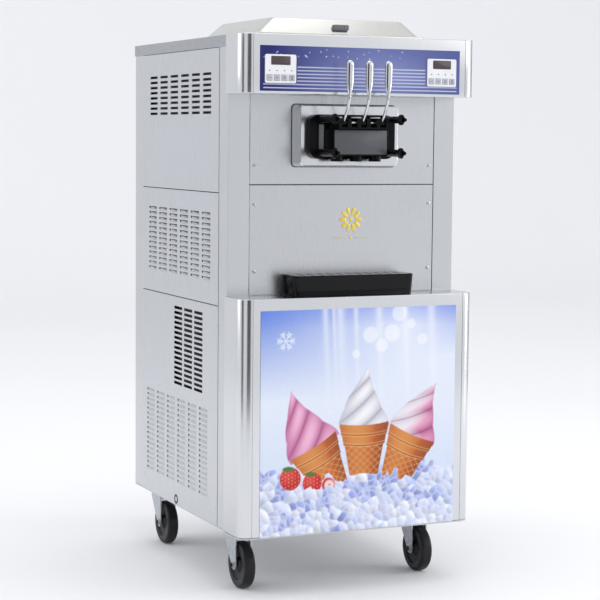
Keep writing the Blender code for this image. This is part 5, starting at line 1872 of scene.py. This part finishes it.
@dataclass
class HopperLid:
    """The pressed lid: a rolled flange, four slopes and a top with a ribbed grip at its front."""

    flange: float = 0.0085
    base_inset: float = 0.009
    slope_side: float = 0.034
    slope_end: float = 0.0135
    rise: float = 0.0325
    wall: float = 0.0020
    grip: tuple[float, float, float] = (0.036, 0.0195, 0.0118)
    grip_rise: float = 0.0145
    grip_setback: float = 0.0075
    ribs: int = 6

    def ring(self, side: float, end: float, radius: float, level: float) -> Array:
        """A round-cornered outline drawn in by one amount at its sides and another at its ends.

        Args:
            side: how far it is drawn in at its left and right.
            end: how far it is drawn in at its front and back.
            radius: its corner radius.
            level: its height.

        Returns:
            Points x 3.
        """
        low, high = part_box("hopper_lid")
        length = high.y - low.y
        plan = rounded_outline(high.x - low.x - 2 * side, length - 2 * end, radius, 10)
        return np.column_stack([plan[:, 0], plan[:, 1] + (high.y - length / 2), np.full(len(plan), level)])

    def build(self) -> None:
        """One skin from the inner top down, round the flange and up over the shoulders to the top."""
        low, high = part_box("hopper_lid")
        foot, shelf, top = low.z, low.z + self.flange, high.z
        side, end, wall = self.base_inset, self.base_inset, self.wall
        rows = [
            (side + self.slope_side + wall, end + self.slope_end + wall, 0.014, top - wall - 0.0006),
            (side + 0.75 * wall, end + 0.75 * wall, 0.016, shelf),
            (side + wall, end + wall, 0.016, shelf - wall),
            (wall, wall, 0.009, shelf - wall - 0.0004), (wall, wall, 0.009, foot),
            (0.0003, 0.0003, 0.010, foot), (0.0, 0.0, 0.010, foot + 0.0006),
            (0.0, 0.0, 0.010, shelf - 0.0022),
            (0.0007, 0.0007, 0.010, shelf - 0.0006), (0.0022, 0.0022, 0.010, shelf),
            (side - 0.0016, end - 0.0016, 0.018, shelf), (side - 0.0004, end - 0.0004, 0.018, shelf + 0.0005),
            (side + 0.0004, end + 0.0002, 0.018, shelf + 0.0016),
            (side + self.slope_side * 0.93, end + self.slope_end * 0.93, 0.017, top - 0.0020),
            (side + self.slope_side * 0.97, end + self.slope_end * 0.97, 0.017, top - 0.0012),
            (side + self.slope_side + 0.0012, end + self.slope_end + 0.0012, 0.016, top - 0.0006),
            (side + self.slope_side + 0.0040, end + self.slope_end + 0.0040, 0.015, top - 0.0003),
            (side + self.slope_side + 0.0200, end + self.slope_end + 0.0200, 0.012, top - 0.0001),
        ]
        skin = lofted(np.array([self.ring(*row) for row in rows]))
        piece = build("hopper_lid_finished", skin, "lid", "lid", 30)
        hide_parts("hopper_lid")
        self.handle(low, shelf)

    def handle(self, low: Vector, shelf: float) -> None:
        """A small grip on the front slope, with upright ribs across its face.

        Args:
            low: the lid's lowest corner.
            shelf: Z of the flange's top.
        """
        width, depth, height = self.grip
        y, z = low.y + self.grip_setback, shelf + self.grip_rise
        start, end = Vector((-width / 2, y, z - height / 2)), Vector((width / 2, y + depth, z + height / 2))
        block = box_block(start, end, Axis.Y, 0.003, 0.0012)
        reach = height * 0.36
        start, end = Vector((-0.0012, y - 0.0007, z - reach)), Vector((0.0012, y + 0.002, z + reach))
        rib = box_block(start, end, Axis.Y, 0.0010, 0.0004)
        steps = (np.arange(self.ribs) - (self.ribs - 1) / 2) * width / (self.ribs + 0.5)
        ribs = rib.repeated(np.column_stack([steps, 0 * steps, 0 * steps]))
        build("lid_grip", Shape.joined([block, ribs]), "grip", "lid")


@dataclass
class Casters:
    """Four zinc forks with black wheels, dished hubs and bolt heads."""

    wheel: float = 0.050
    half: float = 0.0135
    gap: float = 0.0025
    fork_wall: float = 0.003
    washer: float = 0.0008
    bolt: float = 0.0075
    bolt_rise: float = 0.0032
    race: float = 0.0225
    race_drop: float = 0.008
    flank: tuple[tuple[float, float], ...] = (
        (0.0063, 0.0004), (0.0070, 0.0), (0.0132, 0.0), (0.0142, 0.0006), (0.0180, 0.0046),
        (0.0190, 0.0050), (0.0300, 0.0050), (0.0325, 0.0046), (0.0345, 0.0014), (0.0355, 0.0008),
        (0.0395, 0.0008), (0.0400, 0.0012), (0.0412, 0.0012), (0.0418, 0.0008),
    )

    def tread(self) -> Shape:
        """The wheel: round shoulders, a flat tread, stepped dishes and a hub.

        Returns:
            The wheel, turned about X.
        """
        turn = np.linspace(0, math.pi / 2, 6)
        round_off = 0.006
        radius = self.wheel - round_off + round_off * np.sin(turn)
        shoulder = np.stack([radius, -self.half + 0.0008 + round_off * (1 - np.cos(turn))], axis=-1)
        flank = np.array(self.flank) + [0, -self.half]
        half = np.concatenate([flank, shoulder])
        return turned(np.concatenate([half, (half * [1, -1])[::-1]]), 72).along(Axis.X)

    def hexagon(self) -> Shape:
        """A bolt head: six sides, chamfered by a smaller ring at each end.

        Returns:
            The head, standing along local Z.
        """
        angle = np.linspace(0, math.tau, 6, endpoint=False)
        outline = np.stack([np.cos(angle), np.sin(angle)], axis=-1)
        rows = (
            (self.bolt * 0.96, 0.0), (self.bolt, 0.0004),
            (self.bolt, self.bolt_rise - 0.0008), (self.bolt * 0.88, self.bolt_rise),
        )
        rings = [np.column_stack([outline * radius, np.full(6, level)]) for radius, level in rows]
        return lofted(np.array(rings))

    def trim(self, name: str, axle: Vector) -> list[Shape]:
        """The washers and bolt heads at both ends of an axle, and the bead of the swivel's race.

        Args:
            name: the caster's end and side.
            axle: the middle of its axle.

        Returns:
            The shapes, in place.
        """
        washer = spun(np.array([[0.0095, 0], [0.0095, self.washer], [0.0088, 0.0011]]), 32)
        cheek = self.half + self.gap + self.fork_wall
        shapes = []
        for sign in (-1, 1):
            for shape, start in ((washer, cheek), (self.hexagon(), cheek + self.washer)):
                shapes.append(shape.sideways(sign).moved(sign * start).moved(*axle))
        swivel = joint_place(f"caster_fork_{name}_swivel")
        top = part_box(f"caster_fork_{name}")[1].z
        turn = np.linspace(0, math.tau, 10, endpoint=False)
        bead = np.stack([self.race + 0.0012 * np.cos(turn), 0.0012 * np.sin(turn)], axis=-1)
        shapes.append(turned(bead, 40).moved(swivel.x, swivel.y, top - self.race_drop))
        return shapes

    def build(self) -> None:
        """Builds every fork and wheel at its own joints."""
        tread = self.tread()
        for end in ("front", "rear"):
            for side in ("left", "right"):
                name = f"{end}_{side}"
                fork, wheel = f"caster_fork_{name}", f"caster_wheel_{name}"
                softened(fork, "zinc", 0.0006)
                axle = joint_place(f"{wheel}_roll")
                piece = build(f"{wheel}_tyre", tread.moved(*axle), "tyre", wheel)
                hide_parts(wheel)
                build(f"caster_trim_{name}", Shape.joined(self.trim(name, axle)), "zinc", fork)


@dataclass
class Emblem:
    """A plain gilt rosette on the splash sheet, with a small bar ornament under it."""

    x: float = 0.018
    z: float = 0.7835
    radius: float = 0.027
    petals: int = 10
    rise: float = 0.0007
    drop: float = 0.0385
    bar_offset: float = 0.0265

    def build(self) -> None:
        """Petals around a ring, with a heart in the middle and two bars and a bead below."""
        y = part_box("front_lower_panel")[0].y
        turn = np.linspace(0, math.tau, 10, endpoint=False)
        bead = np.stack([self.radius * 0.52 + 0.0012 * np.cos(turn), 0.0006 * np.sin(turn)], axis=-1)
        length = 0.0085
        out = self.petal(0.0040, length).moved(x=self.radius - length)
        shapes = [turned(bead, 64)]
        for step in np.arange(self.petals) * math.tau / self.petals:
            cosine, sine = math.cos(step), math.sin(step)
            spin = np.array([[cosine, sine, 0], [-sine, cosine, 0], [0, 0, 1]])
            shapes.append(Shape(out.points @ spin, out.faces))
        shapes.append(self.petal(0.0045, 0.0045))
        for sign in (-1, 1):
            shapes.append(self.petal(0.0010, 0.0190).moved(x=sign * self.bar_offset, y=-self.drop))
        shapes.append(self.petal(0.0030, 0.0030).moved(y=-self.drop))
        build("emblem", Shape.joined(shapes).facing().moved(self.x, y, self.z), "gold", angle=60)

    def petal(self, half_width: float, half_length: float) -> Shape:
        """A flat lens: rings of one ellipse that shrink as they rise.

        Args:
            half_width: half its size across.
            half_length: half its size along.

        Returns:
            The lens, standing along local Z.
        """
        angle = np.linspace(0, math.tau, 28, endpoint=False)
        rings = []
        for share, level in ((1.0, 0.0), (0.96, self.rise * 0.6), (0.75, self.rise * 0.9), (0.4, self.rise)):
            x, y = half_length * share * np.cos(angle), half_width * share * np.sin(angle)
            rings.append(np.column_stack([x, y, np.full(len(angle), level)]))
        return lofted(np.array(rings))


# ---------------------------------------------------------------- studio


@dataclass
class Studio:
    """A pale sweep, soft boxes and the camera."""

    lens: float = 108.39
    yaw: float = 24.34844
    pitch: float = 5.13135
    roll: float = 0.52605
    stand: tuple[float, float, float] = (-1.66135, -3.45331, 0.95532)
    aim_height: float = 0.65

    def camera(self) -> None:
        """Stands the camera and turns it by its yaw, its pitch downwards and its roll."""
        yaw, pitch, roll = (math.radians(angle) for angle in (self.yaw, self.pitch, self.roll))
        forward = Vector((math.sin(yaw) * math.cos(pitch), math.cos(yaw) * math.cos(pitch), -math.sin(pitch)))
        level = Vector((math.cos(yaw), -math.sin(yaw), 0))
        upward = level.cross(forward)
        right = level * math.cos(roll) + upward * math.sin(roll)
        up = upward * math.cos(roll) - level * math.sin(roll)
        data = bpy.data.cameras.new("view")
        data.sensor_width = 36.0
        data.lens = self.lens
        camera = bpy.data.objects.new("view", data)
        bpy.context.scene.collection.objects.link(camera)
        turn = Matrix((right, up, -forward)).transposed()
        at = Vector(self.stand) + Vector((0, BODY_FRONT, 0))
        camera.matrix_world = Matrix.Translation(at) @ turn.to_4x4()
        bpy.context.scene.camera = camera

    def sweep(self) -> None:
        """A floor that rises into a wall far behind: a profile of two straights and a quarter circle."""
        turn = np.linspace(0, math.pi / 2, 17)
        curve = np.stack([6 + 2 * np.sin(turn), 2 - 2 * np.cos(turn)], axis=-1)
        profile = np.concatenate([[[-9, 0]], curve, [[8, 9]]])
        across = np.array([-12.0, 12.0])
        sides = np.broadcast_arrays(across[:, None], profile[:, 0], profile[:, 1])
        mesh = grid_shape(np.stack(sides, axis=-1)).mesh("sweep")
        mesh.shade_smooth()
        graph = Graph("sweep_paint")
        colour = graph.shade(graph.noise(0.6, 2.0), (0.90, 0.90, 0.91), (0.94, 0.94, 0.945))
        mesh.materials.append(graph.surface(Base_Color=colour, Roughness=0.85))
        floor = bpy.data.objects.new("sweep", mesh)
        bpy.context.scene.collection.objects.link(floor)

    def light(
        self, name: str, at: tuple[float, float, float], size: tuple[float, float], power: float
    ) -> None:
        """A rectangular soft box that looks at the machine's middle.

        Args:
            name: the light's name.
            at: where it hangs.
            size: width and height.
            power: watts.
        """
        data = bpy.data.lights.new(name, "AREA")
        data.shape = "RECTANGLE"
        data.size, data.size_y = size
        data.energy = power
        made = bpy.data.objects.new(name, data)
        bpy.context.scene.collection.objects.link(made)
        aim = Vector((0, 0, self.aim_height)) - Vector(at)
        made.matrix_world = Matrix.Translation(Vector(at)) @ aim.to_track_quat("-Z", "Y").to_matrix().to_4x4()

    def flag(self, name: str, at: tuple[float, float], width: float, height: float) -> None:
        """A dark upright card that only reflections see, facing the machine's middle.

        Args:
            name: the card's name.
            at: X and Y of its middle.
            width: size across.
            height: size up from the floor.
        """
        middle = Vector((*at, 0))
        outward = middle.normalized()
        aside = Vector((-outward.y, outward.x, 0)) * (width / 2)
        near, far = middle - aside, middle + aside
        points = np.array([[*near.xy, 0.0], [*far.xy, 0.0], [*far.xy, height], [*near.xy, height]])
        mesh = Shape(points, [np.array([[0, 1, 2, 3]])]).mesh(name)
        graph = Graph(f"{name}_cloth")
        colour = graph.shade(graph.noise(3.0), (0.05, 0.05, 0.052), (0.08, 0.08, 0.083))
        mesh.materials.append(graph.surface(Base_Color=colour, Roughness=0.95))
        card = bpy.data.objects.new(name, mesh)
        bpy.context.scene.collection.objects.link(card)
        card.visible_camera = False
        card.visible_diffuse = False
        card.visible_shadow = False

    def build(self) -> None:
        """Sets up the whole studio."""
        bpy.context.scene.view_settings.view_transform = "Standard"
        self.camera()
        self.sweep()
        world = bpy.data.worlds.new("studio")
        world.use_nodes = True
        ground = world.node_tree.nodes["Background"].inputs
        ground["Color"].default_value = (0.95, 0.965, 1.0, 1)
        ground["Strength"].default_value = 0.92
        bpy.context.scene.world = world
        self.light("key", (4.0, -4.2, 2.9), (2.4, 2.8), 30)
        self.light("left_fill", (-4.0, 1.4, 2.2), (2.4, 2.8), 30)
        self.light("right_strip", (4.0, -1.6, 1.6), (0.7, 2.6), 40)
        self.light("overhead", (0.0, -0.6, 4.2), (3.0, 3.0), 30)
        self.flag("front_flag", (-0.80, -3.2), 1.8, 2.6)
        self.flag("left_flag", (-3.0, -1.3), 1.0, 2.2)
        self.flag("right_flag", (2.7, 1.7), 1.3, 2.6)


def main() -> None:
    """Builds the machine's sub-assemblies in order, then the studio."""
    logging.basicConfig(level=logging.INFO, format="%(name)s: %(message)s")
    cabinet = Cabinet()
    cabinet.build()
    cabinet.dress()
    SidePanels().build()
    for node in ("header_casing", "lower_casing"):
        FrontShell(node).build()
    ShadowGapStrips().build()
    DustFilters().build()
    Screws().build()
    printed_sheet("poster_panel", PosterArt(), "print", 0.0016)
    ControlPanel().build()
    DispensingHead().build()
    DrawLevers().build()
    HandNuts().build()
    DripTray().build()
    HopperLid().build()
    softened("hopper", "inner", 0.0008)
    softened("cable_gland", "black", 0.0004)
    Casters().build()
    Emblem().build()
    Studio().build()


if __name__ == "__main__":
    main()
